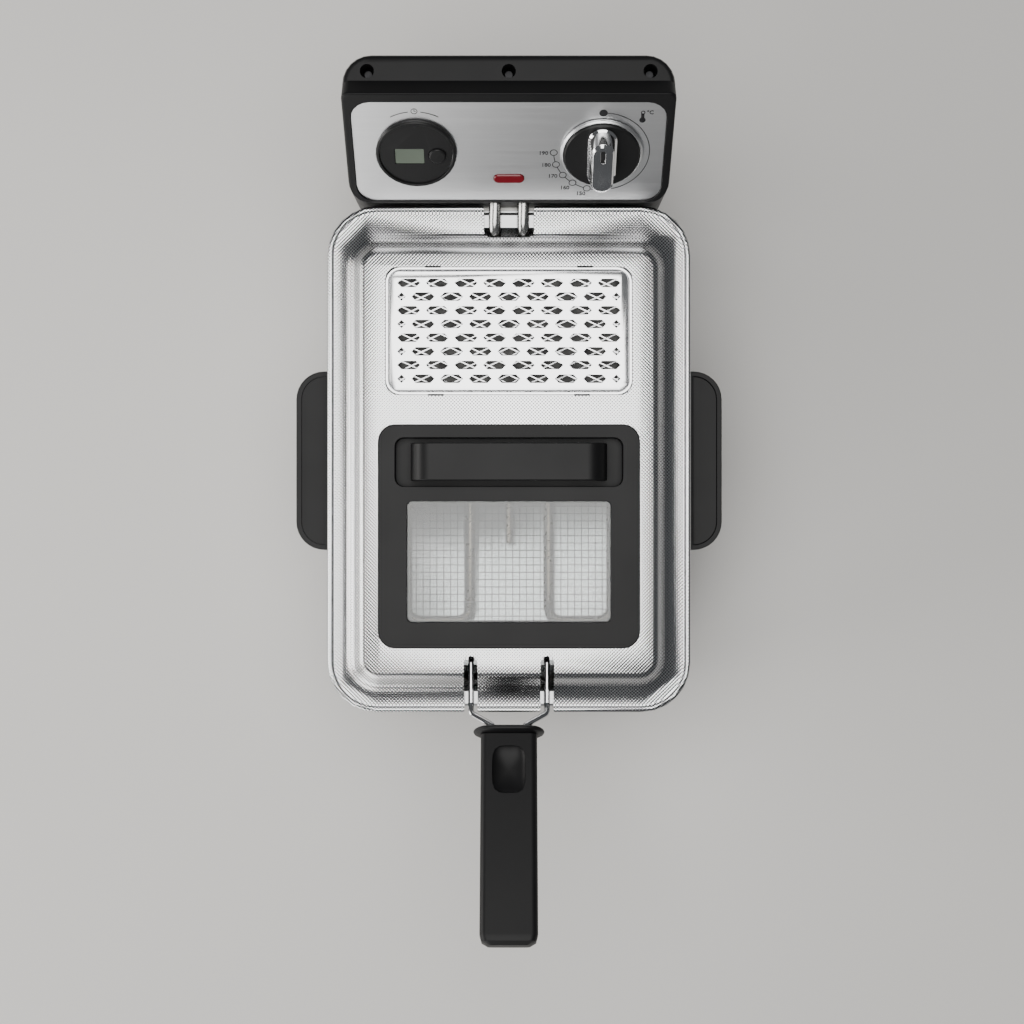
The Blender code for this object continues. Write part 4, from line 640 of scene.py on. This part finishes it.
def moulding(name, colour, roughness, grain=900.0, depth=0.02, wear_and_highlight=0.35, **values):
    """A moulded part: fine grain, a slow change of sheen, and slightly lighter edges for rubbed wear and a
    painted edge highlight.
    """
    part = Finish(name, colour, 0.0, roughness, Specular_IOR_Level=0.22, **values)
    texture = part.effect("grain", Scale=grain)
    part.vary_colour(texture["Sheen"], shade(colour, 0.80), shade(colour, 1.25))
    part.vary_roughness(texture["Sheen"], roughness - 0.05, roughness + 0.06)
    # Painted highlight as well as wear: convex edges are painted lighter, standing for rubbing and for the
    # bright lines light draws along them.
    rubbed = tuple(part_colour * 1.4 + 0.014 for part_colour in colour)
    part.blend_colour(rubbed, part.effect("wear_and_highlight", Amount=wear_and_highlight)["Mask"])
    part.bump(texture["Height"], depth * MM, 0.5)
    return part


def plastic_finishes(look):
    plastic, dial = tuple(look.plastic_colour), tuple(look.dial_colour)
    moulding("black_plastic", plastic, 0.43)
    moulding("grip_plastic", shade(plastic, 1.1), 0.46, grain=1300.0)
    moulding("dial_black", dial, 0.30, grain=1600.0, depth=0.008)
    moulding("block_white", (0.72, 0.70, 0.64), 0.45, wear_and_highlight=0.1)
    moulding("switch_red", (0.42, 0.02, 0.02), 0.38, wear_and_highlight=0.1)
    moulding("rubber", (0.022, 0.022, 0.023), 0.78, grain=500.0, depth=0.05)
    glass = moulding("display", look.display_colour, 0.16, grain=260.0, depth=0.002, wear_and_highlight=0.0)
    glass.shader.inputs["Coat Weight"].default_value = 0.5
    lens = moulding("red_lens", look.lens_colour, 0.20, grain=200.0, depth=0.01, wear_and_highlight=0.0)
    lens.shader.inputs["Coat Weight"].default_value = 0.6
    foam = moulding("filter_foam", (0.05, 0.05, 0.05), 0.92, grain=420.0, depth=0.6, wear_and_highlight=0.0)
    foam.bump(foam.noise(1400.0), 0.2 * MM, 0.8)
    foam.blend_colour((0.13, 0.13, 0.125), foam.effect("handling", Scale=150.0)["Smudge"])


def window_finish():
    pane = Finish(
        "window_glass", (0.93, 0.96, 0.95), 0.0, 0.03, Transmission_Weight=1.0, IOR=1.5,
    )
    film = pane.effect("handling", Scale=20.0)["Smudge"]
    pane.vary_colour(film, (0.90, 0.94, 0.93), (0.97, 0.985, 0.98))
    pane.vary_roughness(film, 0.0, 0.015)


def ink_finishes(marks):
    moulding("printed_ink", marks.ink_colour, 0.42, grain=700.0, depth=0.004, wear_and_highlight=0.0)
    moulding("printed_white", (0.55, 0.55, 0.54), 0.45, grain=700.0, depth=0.004, wear_and_highlight=0.0)


def paint_frame():
    """Gives each frame node the finish that its slot in the record names."""
    for name, node in frame["nodes"].items():
        if SLOT_OF[name] not in FINISHES:
            raise RuntimeError(f"{name} has no finish for slot {SLOT_OF[name]!r}")
        for entry in node.material_slots:
            entry.material = FINISHES[SLOT_OF[name]]


# ---------------------------------------------------------------- pieces


def joined(pieces, name):
    """Several objects made one piece."""
    choose(pieces[0])
    for piece in pieces:
        piece.select_set(True)
    bpy.ops.object.join()
    pieces[0].name = name
    pieces[0].data.name = name
    return pieces[0]


def copied(piece, offset):
    """A copy of a piece with its own mesh, moved by an offset."""
    other = piece.copy()
    other.data = piece.data.copy()
    bpy.context.scene.collection.objects.link(other)
    other.data.transform(Matrix.Translation(offset))
    return other


def active(name):
    bpy.context.object.name = name
    bpy.context.object.data.name = name
    return bpy.context.object


def make_expanded_metal(sizes):
    """The filter's expanded metal: crossing twisted strips in a flat frame."""
    low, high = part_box("filter_mesh")
    middle = (low + high) / 2
    length, width, strip = sizes.cell_length, sizes.cell_width, sizes.strip_width
    thickness = high.z - low.z
    reach = math.hypot(length, width)
    strips = []
    for turn in (1, -1):
        bpy.ops.object.select_all(action="DESELECT")
        bpy.ops.mesh.primitive_cube_add(size=1)
        bar = active("strip")
        bar.dimensions = (reach, strip, thickness * 0.55)
        settle(bar)
        bpy.ops.object.mode_set(mode="EDIT")
        select_edges(bar, lambda a, b: abs(a.x - b.x) > reach / 2)
        bpy.ops.mesh.bevel(offset=0.14 * MM, segments=1)
        bpy.ops.object.mode_set(mode="OBJECT")
        place(bar, Matrix.Rotation(math.radians(12), 4, "X"))
        place(bar, Matrix.Rotation(turn * math.atan2(width, length), 4, "Z"))
        strips.append(bar)
    cross = joined(strips, "expanded_metal_cross")
    cells = []
    first_level = middle.y + 1.55 * MM
    for row in range(-8, 8):
        for column in range(-7, 7):
            cells.append(copied(cross, (
                (column + 0.5) * length, first_level + (row + 0.5) * width, middle.z,
            )))
    bpy.data.objects.remove(cross)
    lattice = joined(cells, "filter_expanded_metal")
    bpy.ops.object.mode_set(mode="EDIT")
    edge = 1.5 * MM
    for place_on, outward in (
        ((high.x - edge, 0, 0), (1, 0, 0)), ((low.x + edge, 0, 0), (-1, 0, 0)),
        ((0, high.y - edge, 0), (0, 1, 0)), ((0, low.y + edge, 0), (0, -1, 0)),
    ):
        bpy.ops.mesh.select_all(action="SELECT")
        bpy.ops.mesh.bisect(plane_co=place_on, plane_no=outward, clear_outer=True, use_fill=True)
    bpy.ops.object.mode_set(mode="OBJECT")
    bpy.ops.object.select_all(action="DESELECT")
    bpy.ops.mesh.primitive_plane_add(size=1)
    rim = active("rim")
    rim.dimensions = (high.x - low.x - 0.4 * MM, high.y - low.y - 0.4 * MM, 0)
    rim.location = (0, middle.y, high.z - 0.3 * MM)
    settle(rim)
    bpy.ops.object.mode_set(mode="EDIT")
    bpy.ops.mesh.select_all(action="SELECT")
    bpy.ops.mesh.bevel(offset=9 * MM, segments=6, affect="VERTICES")
    select_faces(rim, lambda centre, normal: True)
    bpy.ops.mesh.inset(thickness=2.2 * MM)
    bpy.ops.mesh.delete(type="FACE")
    bpy.ops.object.mode_set(mode="OBJECT")
    apply_modifier(rim, "SOLIDIFY", thickness=thickness * 0.7, offset=-1)
    piece = joined([lattice, rim], "filter_expanded_metal")
    smooth(piece, 40)
    ride(piece, "lid", "filter_steel", FINISHES["filter_steel"], "filter_mesh")


def rounded_frame(name, size, corner, width, low, high, edge, steps=8):
    """An upright frame with rounded corners: its outer size, corner radius, rail width and heights."""
    bpy.ops.object.select_all(action="DESELECT")
    bpy.ops.mesh.primitive_plane_add(size=1)
    rail = active(name)
    rail.dimensions = (size[0], size[1], 0)
    settle(rail)
    bpy.ops.object.mode_set(mode="EDIT")
    bpy.ops.mesh.select_all(action="SELECT")
    bpy.ops.mesh.bevel(offset=corner, segments=steps, affect="VERTICES")
    select_faces(rail, lambda centre, normal: True)
    bpy.ops.mesh.inset(thickness=width)
    bpy.ops.mesh.delete(type="FACE")
    bpy.ops.object.mode_set(mode="OBJECT")
    apply_modifier(rail, "SOLIDIFY", thickness=high - low, offset=-1)
    apply_modifier(rail, "BEVEL", width=edge, segments=3, limit_method="ANGLE",
                   angle_limit=math.radians(50))
    place(rail, Matrix.Translation((0, 0, high)))
    return smooth(rail, 40)


def make_filter_collar():
    """The bright collar in the lid's opening round the filter plate, and four flat near-black patches as
    painted shade for its catch slots.
    """
    low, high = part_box("filter_cover")
    middle, gap, rail = (low + high) / 2, 0.45 * MM, 1.9 * MM
    size = (high.x - low.x + 2 * (gap + rail), high.y - low.y + 2 * (gap + rail))
    collar = rounded_frame(
        "filter_collar", size, 10.5 * MM, rail, high.z - 0.6 * MM, high.z + 0.3 * MM, 0.35 * MM, 10,
    )
    place(collar, Matrix.Translation((0, middle.y, 0)))
    ride(collar, "lid", "filter_steel", FINISHES["filter_steel"])
    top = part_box("lid_shell")[1].z
    # Painted shade: thin black sheets laid on the lid where the catch slots' openings look dark.
    slot_shades = []
    for x, y in ((-52, 1), (52, 1), (-50, -1), (50, -1)):
        bpy.ops.object.select_all(action="DESELECT")
        bpy.ops.mesh.primitive_cube_add(size=1)
        slot = active("catch_slot_shade")
        slot.dimensions = (11 * MM, 1.3 * MM, 0.2 * MM)
        slot.location = (x * MM, middle.y + y * (size[1] / 2 + 0.1 * MM), top + 0.05 * MM)
        settle(slot)
        bpy.ops.object.mode_set(mode="EDIT")
        select_edges(slot, lambda a, b: abs(a.z - b.z) > 0.1 * MM)
        bpy.ops.mesh.bevel(offset=0.5 * MM, segments=4)
        bpy.ops.object.mode_set(mode="OBJECT")
        slot_shades.append(slot)
    piece = joined(slot_shades, "filter_catch_slot_shades")
    ride(piece, "lid", "black_plastic", FINISHES["black_plastic"])


def make_basket_mesh(sizes):
    """The frying basket as a cage of fine wires with rounded corners."""
    low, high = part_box("basket_mesh")
    corner, floor_round = BASKET_CORNER, BASKET_FLOOR_ROUND
    bpy.ops.object.select_all(action="DESELECT")
    bpy.ops.mesh.primitive_cube_add(size=1)
    cage = active("basket_wires")
    margin = 0.6 * MM
    cage.dimensions = (high - low) - Vector((2 * margin, 2 * margin, margin))
    cage.location = (low + high) / 2 + Vector((0, 0, margin / 2))
    settle(cage)
    bpy.ops.object.mode_set(mode="EDIT")
    select_faces(cage, lambda centre, normal: normal.z > 0.5)
    bpy.ops.mesh.delete(type="FACE")
    select_edges(cage, lambda a, b: abs(a.z - b.z) > 0.02)
    bpy.ops.mesh.bevel(offset=corner, segments=7)
    select_edges(cage, lambda a, b: max(a.z, b.z) < low.z + 2 * margin)
    bpy.ops.mesh.bevel(offset=floor_round, segments=3)
    pitch = sizes.basket_pitch
    for axis in range(3):
        along = Vector([1.0 if axis == index else 0.0 for index in range(3)])
        steps = int((high[axis] - low[axis]) / pitch)
        start = (low[axis] + high[axis]) / 2 - (steps - 1) / 2 * pitch
        for step in range(steps):
            at = start + step * pitch
            if axis == 2 and at < low.z + floor_round:
                continue
            bpy.ops.mesh.select_all(action="SELECT")
            bpy.ops.mesh.bisect(plane_co=along * at, plane_no=along)
    bpy.ops.object.mode_set(mode="OBJECT")
    mesh = cage.data
    for vertex in mesh.vertices:
        share = (high.z - vertex.co.z) / (high.z - low.z)
        vertex.co.x *= 1 - share * BASKET_TAPER / (high.x - low.x) * 2
    apply_modifier(cage, "WIREFRAME", thickness=sizes.basket_wire, use_even_offset=False,
                   use_boundary=True, use_replace=True)
    smooth(cage, 60)
    ride(cage, "basket", "chrome_wire", FINISHES["chrome_wire"], "basket_mesh")


REFINED = (
    # node, new name, edge radius in mm, segments
    ("lid_shell", "lid_pressing", 0.0, 0),
    ("filter_cover", "filter_plate", 0.0, 0),
    ("filter_housing", "filter_tray", 0.0, 0),
    ("control_shell", "control_cover", 0.8, 2),
    ("control_bezel", "control_frame", 0.5, 2),
    ("fascia_plate", "fascia", 0.2, 2),
    ("lid_insert", "lid_panel", 0.5, 2),
    ("lid_handle", "lid_bar", 0.8, 3),
    ("side_handle_left", "carry_handle_left", 1.2, 3),
    ("side_handle_right", "carry_handle_right", 1.2, 3),
    ("grip_upper", "grip_top_half", 0.4, 2),
    ("grip_lower", "grip_bottom_half", 0.5, 2),
    ("finger_guard", "hand_stop", 0.5, 2),
    ("handle_wire", "handle_rod", 0.0, 0),
    ("heating_element", "element_tube", 0.0, 0),
    ("basket_rim", "basket_rim_wire", 0.0, 0),
    ("basket_bracket", "bracket_plate", 0.2, 1),
    ("knob_disc", "dial_disc", 0.3, 2),
    ("knob_ring", "dial_ring", 0.2, 2),
    ("knob_grip", "dial_grip", 0.5, 3),
    ("timer_face", "timer_disc", 0.2, 2),
    ("timer_rim", "timer_ring", 0.3, 2),
    ("timer_display", "timer_screen", 0.15, 1),
    ("timer_button", "timer_key", 0.4, 3),
    ("indicator_lens", "lamp_lens", 0.4, 3),
    ("outer_housing", "housing_shell", 0.0, 0),
    ("oil_bowl", "oil_pot", 0.0, 0),
    ("base_tray", "base_plate", 0.8, 2),
    ("cord_gland", "cord_bush", 0.3, 2),
)


def refine_nodes():
    """Smoothly shaded copies of the frame's curved nodes, with rounded edges."""
    for node, name, edge, segments in REFINED:
        piece = refined(node, name, edge * MM, segments)
        ride(piece, body_of(node), SLOT_OF[node], FINISHES[SLOT_OF[node]], node)


# ---------------------------------------------------------------- printed marks


def face_height(node):
    """How far a node's outer face stands out from the fascia's centre, along the fascia's normal."""
    normal = FASCIA_FRAME.to_3x3() @ Vector((0, 0, 1))
    return max(
        (vertex.co - FASCIA_CENTRE).dot(normal) for vertex in frame["nodes"][node].data.vertices
    )


def ink_height(node="fascia_plate"):
    """Where ink lies on a node, a hair above its outer face."""
    return face_height(node) + INK_LIFT


def on_fascia(piece, x, y, lift):
    return place(piece, FASCIA_FRAME @ Matrix.Translation((x, y, lift)))


def printed_ring(name, radius, width, start=0.0, end=360.0, vertices=96):
    """A flat ring, or an arc of one running clockwise from start to end, in degrees from the top."""
    bpy.ops.object.select_all(action="DESELECT")
    bpy.ops.mesh.primitive_circle_add(vertices=vertices, radius=radius + width / 2)
    ring = active(name)
    bpy.ops.object.mode_set(mode="EDIT")
    bpy.ops.mesh.select_all(action="SELECT")
    bpy.ops.mesh.extrude_edges_move()
    inner = (radius - width / 2) / (radius + width / 2)
    bpy.ops.transform.resize(value=(inner, inner, 1))
    if end - start < 360:
        step = 360 / vertices

        def outside(centre, normal):
            angle = math.degrees(math.atan2(centre.x, centre.y)) % 360
            return not start - step * 0.01 <= angle <= end + step * 0.01

        select_faces(ring, outside)
        bpy.ops.mesh.delete(type="FACE")
    bpy.ops.object.mode_set(mode="OBJECT")
    return thickened(ring)


def thickened(piece):
    choose(piece)
    bpy.ops.object.mode_set(mode="EDIT")
    bpy.ops.mesh.select_all(action="SELECT")
    bpy.ops.mesh.normals_make_consistent(inside=False)
    mesh = bmesh.from_edit_mesh(piece.data)
    if sum(face.normal.z for face in mesh.faces) < 0:
        bpy.ops.mesh.flip_normals()
    bpy.ops.object.mode_set(mode="OBJECT")
    return apply_modifier(piece, "SOLIDIFY", thickness=INK_THICKNESS, offset=1)


def printed_disc(name, radius, vertices=40):
    bpy.ops.object.select_all(action="DESELECT")
    bpy.ops.mesh.primitive_circle_add(vertices=vertices, radius=radius, fill_type="NGON")
    disc = active(name)
    bpy.ops.object.mode_set(mode="EDIT")
    select_faces(disc, lambda centre, normal: True)
    bpy.ops.mesh.inset(thickness=radius * 0.12)
    bpy.ops.object.mode_set(mode="OBJECT")
    return thickened(disc)


def printed_text(name, words, size):
    """A word or number, centred on its own origin."""
    bpy.ops.object.select_all(action="DESELECT")
    bpy.ops.object.text_add()
    text = bpy.context.object
    text.data.body = words
    text.data.size = size
    text.data.align_x, text.data.align_y = "CENTER", "CENTER"
    text.data.offset = 0.09 * MM
    text.data.resolution_u = 3
    bpy.ops.object.convert(target="MESH")
    return thickened(active(name))


SCALE_POINTS = (
    # number, degrees clockwise from off, its own place from the knob's centre in mm
    ("150", 196.2, -13.0, -35.2),
    ("160", 216.0, -24.0, -30.2),
    ("170", 233.0, -32.4, -20.2),
    ("180", 251.3, -37.0, -10.8),
    ("190", 269.4, -38.9, -0.8),
)


def print_temperature_scale(marks):
    """The arc, the off dot, the open circles and the numbers round the knob."""
    ink = FINISHES["printed_ink"]
    lift = ink_height()
    radius, line, spot = marks.scale_radius, marks.scale_line, 2.35 * MM
    half = math.degrees(spot / radius)
    strokes = []
    angles = [0.0] + [point[1] for point in SCALE_POINTS]
    for start, end in zip(angles, angles[1:]):
        arc = printed_ring("arc", radius, line, start + half, end - half, 240)
        strokes.append(on_fascia(arc, KNOB_X, 0, lift))
    for words, angle, x, y in SCALE_POINTS:
        turn = math.radians(angle)
        circle = printed_ring("circle", spot, line, vertices=32)
        strokes.append(on_fascia(
            circle, KNOB_X + radius * math.sin(turn), radius * math.cos(turn), lift,
        ))
        number = printed_text("number", words, marks.scale_numerals)
        strokes.append(on_fascia(number, KNOB_X + x * MM, y * MM, lift))
    dot = printed_disc("off_dot", 2.75 * MM)
    strokes.append(on_fascia(dot, KNOB_X, radius, lift))
    piece = joined(strokes, "temperature_scale")
    ride(piece, "control_unit", "satin_fascia", ink)


def print_thermometer():
    """The thermometer and the degree sign at the fascia's corner."""
    lift = ink_height()
    bulb = printed_disc("bulb", 2.1 * MM)
    on_fascia(bulb, THERMOMETER_X, 26.4 * MM, lift)
    top = printed_ring("top", 1.15 * MM, 0.6 * MM, vertices=28)
    on_fascia(top, THERMOMETER_X + 0.1 * MM, DEGREES_Y, lift)
    bpy.ops.object.select_all(action="DESELECT")
    bpy.ops.mesh.primitive_plane_add(size=1)
    stem = active("stem")
    stem.dimensions = (2.2 * MM, 5.0 * MM, 0)
    settle(stem)
    bpy.ops.object.mode_set(mode="EDIT")
    select_faces(stem, lambda centre, normal: True)
    bpy.ops.mesh.inset(thickness=0.3 * MM)
    bpy.ops.object.mode_set(mode="OBJECT")
    on_fascia(thickened(stem), THERMOMETER_X, 29.2 * MM, lift)
    degrees = printed_text("degrees", "°C", 4.1 * MM)
    on_fascia(degrees, KNOB_X + 30.6 * MM, DEGREES_Y, lift)
    piece = joined([bulb, top, stem, degrees], "thermometer_sign")
    ride(piece, "control_unit", "satin_fascia", FINISHES["printed_ink"])


def print_timer_tick():
    """The small pointed tick at the top of the timer's face."""
    tick = printed_disc("timer_tick", 1.5 * MM, 3)
    place(tick, Matrix.Rotation(math.radians(180), 4, "Z"))
    on_fascia(tick, TIMER_X, TIMER_TICK_Y, ink_height("timer_face"))
    ride(tick, "control_unit", "dial_black", FINISHES["printed_ink"])


def print_timer_sign(marks):
    """A plain clock over the timer, between two short arcs."""
    lift = ink_height()
    strokes = []
    face = printed_ring("clock_face", 2.0 * MM, 0.45 * MM, vertices=32)
    strokes.append(on_fascia(face, TIMER_X, TIMER_SIGN_Y, lift))
    for length, turn in ((1.5 * MM, 0), (1.1 * MM, 90)):
        bpy.ops.object.select_all(action="DESELECT")
        bpy.ops.mesh.primitive_plane_add(size=1)
        hand = active("hand")
        hand.dimensions = (0.4 * MM, length, 0)
        hand.location = (0, length / 2, 0)
        settle(hand)
        place(hand, Matrix.Rotation(-math.radians(turn), 4, "Z"))
        bpy.ops.object.mode_set(mode="EDIT")
        bpy.ops.mesh.select_all(action="SELECT")
        bpy.ops.mesh.subdivide(number_cuts=1)
        bpy.ops.object.mode_set(mode="OBJECT")
        strokes.append(on_fascia(thickened(hand), TIMER_X, TIMER_SIGN_Y, lift))
    for start, end in ((330, 352), (8, 30)):
        arc = printed_ring("arc", 31.5 * MM, marks.scale_line, start, end, 240)
        strokes.append(on_fascia(arc, TIMER_X, 1.5 * MM, lift))
    piece = joined(strokes, "timer_sign")
    ride(piece, "control_unit", "satin_fascia", FINISHES["printed_ink"])


# ---------------------------------------------------------------- stage


def build_stage(stage):
    """Floor, three softboxes, even fill and the camera."""
    scene = bpy.context.scene
    scene.unit_settings.system = "METRIC"
    bpy.ops.object.select_all(action="DESELECT")
    bpy.ops.mesh.primitive_plane_add(size=8)
    floor = active("floor")
    ground = Finish("floor_paint", stage.floor_colour, 0.0, 0.62)
    mottle = ground.noise(3.0)
    ground.vary_colour(mottle, shade(stage.floor_colour, 0.97), shade(stage.floor_colour, 1.03))
    ground.bump(ground.noise(240.0), 0.05 * MM, 0.2)
    floor.data.materials.append(ground.material)

    world = bpy.data.worlds.new("even_fill")
    scene.world = world
    world.use_nodes = True
    background = world.node_tree.nodes["Background"]
    background.inputs["Color"].default_value = (0.93, 0.96, 1.0, 1)
    background.inputs["Strength"].default_value = stage.fill_strength

    def softbox(name, place_at, aim, size, power, colour):
        light = bpy.data.lights.new(name, "AREA")
        light.shape, light.size, light.size_y = "RECTANGLE", *size
        light.energy, light.color = power, colour
        lamp = bpy.data.objects.new(name, light)
        lamp.location = place_at
        lamp.rotation_euler = (Vector(aim) - Vector(place_at)).to_track_quat("-Z", "Y").to_euler()
        scene.collection.objects.link(lamp)

    softbox("overhead_softbox", (-0.12, 0.1, 2.6), (-0.05, 0, 0.1), (1.9, 1.9),
            stage.overhead_power, (1.0, 0.99, 0.97))
    softbox("left_softbox", (-2.2, -0.2, 0.75), (0, 0, 0.2), (1.6, 1.0),
            stage.side_power, (1.0, 0.98, 0.95))
    softbox("front_softbox", (-1.25, -2.1, 0.62), (0, 0.1, 0.2), (1.7, 1.1),
            stage.front_power, (1.0, 0.99, 0.97))

    camera = bpy.data.objects.new("camera", bpy.data.cameras.new("camera"))
    camera.data.lens = stage.focal_length
    camera.data.sensor_width = 36
    camera.data.clip_start = 0.05
    camera.location = stage.camera_place
    scene.collection.objects.link(camera)
    scene.camera = camera


# ---------------------------------------------------------------- operators


def settings(context):
    return context.scene.fryer_looks


class FRYER_OT_finishes(bpy.types.Operator):
    """Make the finishes and paint the frame with them."""

    bl_idname = "fryer.finishes"
    bl_label = "Finishes"

    def execute(self, context):
        looks = settings(context)
        make_effects()
        steel_finishes(looks.finish)
        chrome_finishes()
        plastic_finishes(looks.finish)
        window_finish()
        ink_finishes(looks.marks)
        paint_frame()
        return {"FINISHED"}


class FRYER_OT_refine(bpy.types.Operator):
    """Round the edges of the moulded and pressed parts and shade them smooth."""

    bl_idname = "fryer.refine"
    bl_label = "Moulded and pressed parts"

    def execute(self, context):
        refine_nodes()
        return {"FINISHED"}


class FRYER_OT_expanded_metal(bpy.types.Operator):
    """Make the expanded metal of the filter."""

    bl_idname = "fryer.expanded_metal"
    bl_label = "Expanded metal"

    def execute(self, context):
        make_expanded_metal(settings(context).wires)
        return {"FINISHED"}


class FRYER_OT_filter_collar(bpy.types.Operator):
    """Make the filter's collar and catch slots."""

    bl_idname = "fryer.filter_collar"
    bl_label = "Filter collar"

    def execute(self, context):
        make_filter_collar()
        return {"FINISHED"}


class FRYER_OT_basket(bpy.types.Operator):
    """Make the wire cage of the basket."""

    bl_idname = "fryer.basket"
    bl_label = "Basket wires"

    def execute(self, context):
        make_basket_mesh(settings(context).wires)
        return {"FINISHED"}


class FRYER_OT_marks(bpy.types.Operator):
    """Print the temperature scale, the thermometer and the timer sign."""

    bl_idname = "fryer.marks"
    bl_label = "Printed marks"

    def execute(self, context):
        marks = settings(context).marks
        print_temperature_scale(marks)
        print_thermometer()
        print_timer_sign(marks)
        print_timer_tick()
        return {"FINISHED"}


class FRYER_OT_stage(bpy.types.Operator):
    """Set the floor, the softboxes and the camera."""

    bl_idname = "fryer.stage"
    bl_label = "Stage"

    def execute(self, context):
        build_stage(settings(context).stage)
        return {"FINISHED"}


class FryerLooks(bpy.types.PropertyGroup):
    """All settings of the fryer's looks."""

    finish: bpy.props.PointerProperty(type=FinishSettings, name="Finish")
    wires: bpy.props.PointerProperty(type=WireSettings, name="Wires")
    marks: bpy.props.PointerProperty(type=MarkSettings, name="Marks")
    stage: bpy.props.PointerProperty(type=StageSettings, name="Stage")


STEPS = (
    FRYER_OT_finishes, FRYER_OT_refine, FRYER_OT_expanded_metal,
    FRYER_OT_filter_collar, FRYER_OT_basket, FRYER_OT_marks, FRYER_OT_stage,
)


class FRYER_PT_looks(bpy.types.Panel):
    """The fryer's steps and settings in the sidebar."""

    bl_idname = "FRYER_PT_looks"
    bl_label = "Deep Fryer"
    bl_space_type = "VIEW_3D"
    bl_region_type = "UI"
    bl_category = "Deep Fryer"

    def draw(self, context):
        looks = settings(context)
        for step in STEPS:
            self.layout.operator(step.bl_idname)
        for group in (looks.finish, looks.wires, looks.marks, looks.stage):
            box = self.layout.box()
            for name in group.__annotations__:
                box.prop(group, name)


CLASSES = (
    FinishSettings, WireSettings, MarkSettings, StageSettings, FryerLooks, *STEPS, FRYER_PT_looks,
)


def register():
    for made in CLASSES:
        bpy.utils.register_class(made)
    bpy.types.Scene.fryer_looks = bpy.props.PointerProperty(type=FryerLooks)


def unregister():
    del bpy.types.Scene.fryer_looks
    for made in reversed(CLASSES):
        bpy.utils.unregister_class(made)


def main():
    register()
    bpy.ops.fryer.finishes()
    bpy.ops.fryer.refine()
    bpy.ops.fryer.expanded_metal()
    bpy.ops.fryer.filter_collar()
    bpy.ops.fryer.basket()
    bpy.ops.fryer.marks()
    bpy.ops.fryer.stage()


if __name__ == "__main__":
    main()
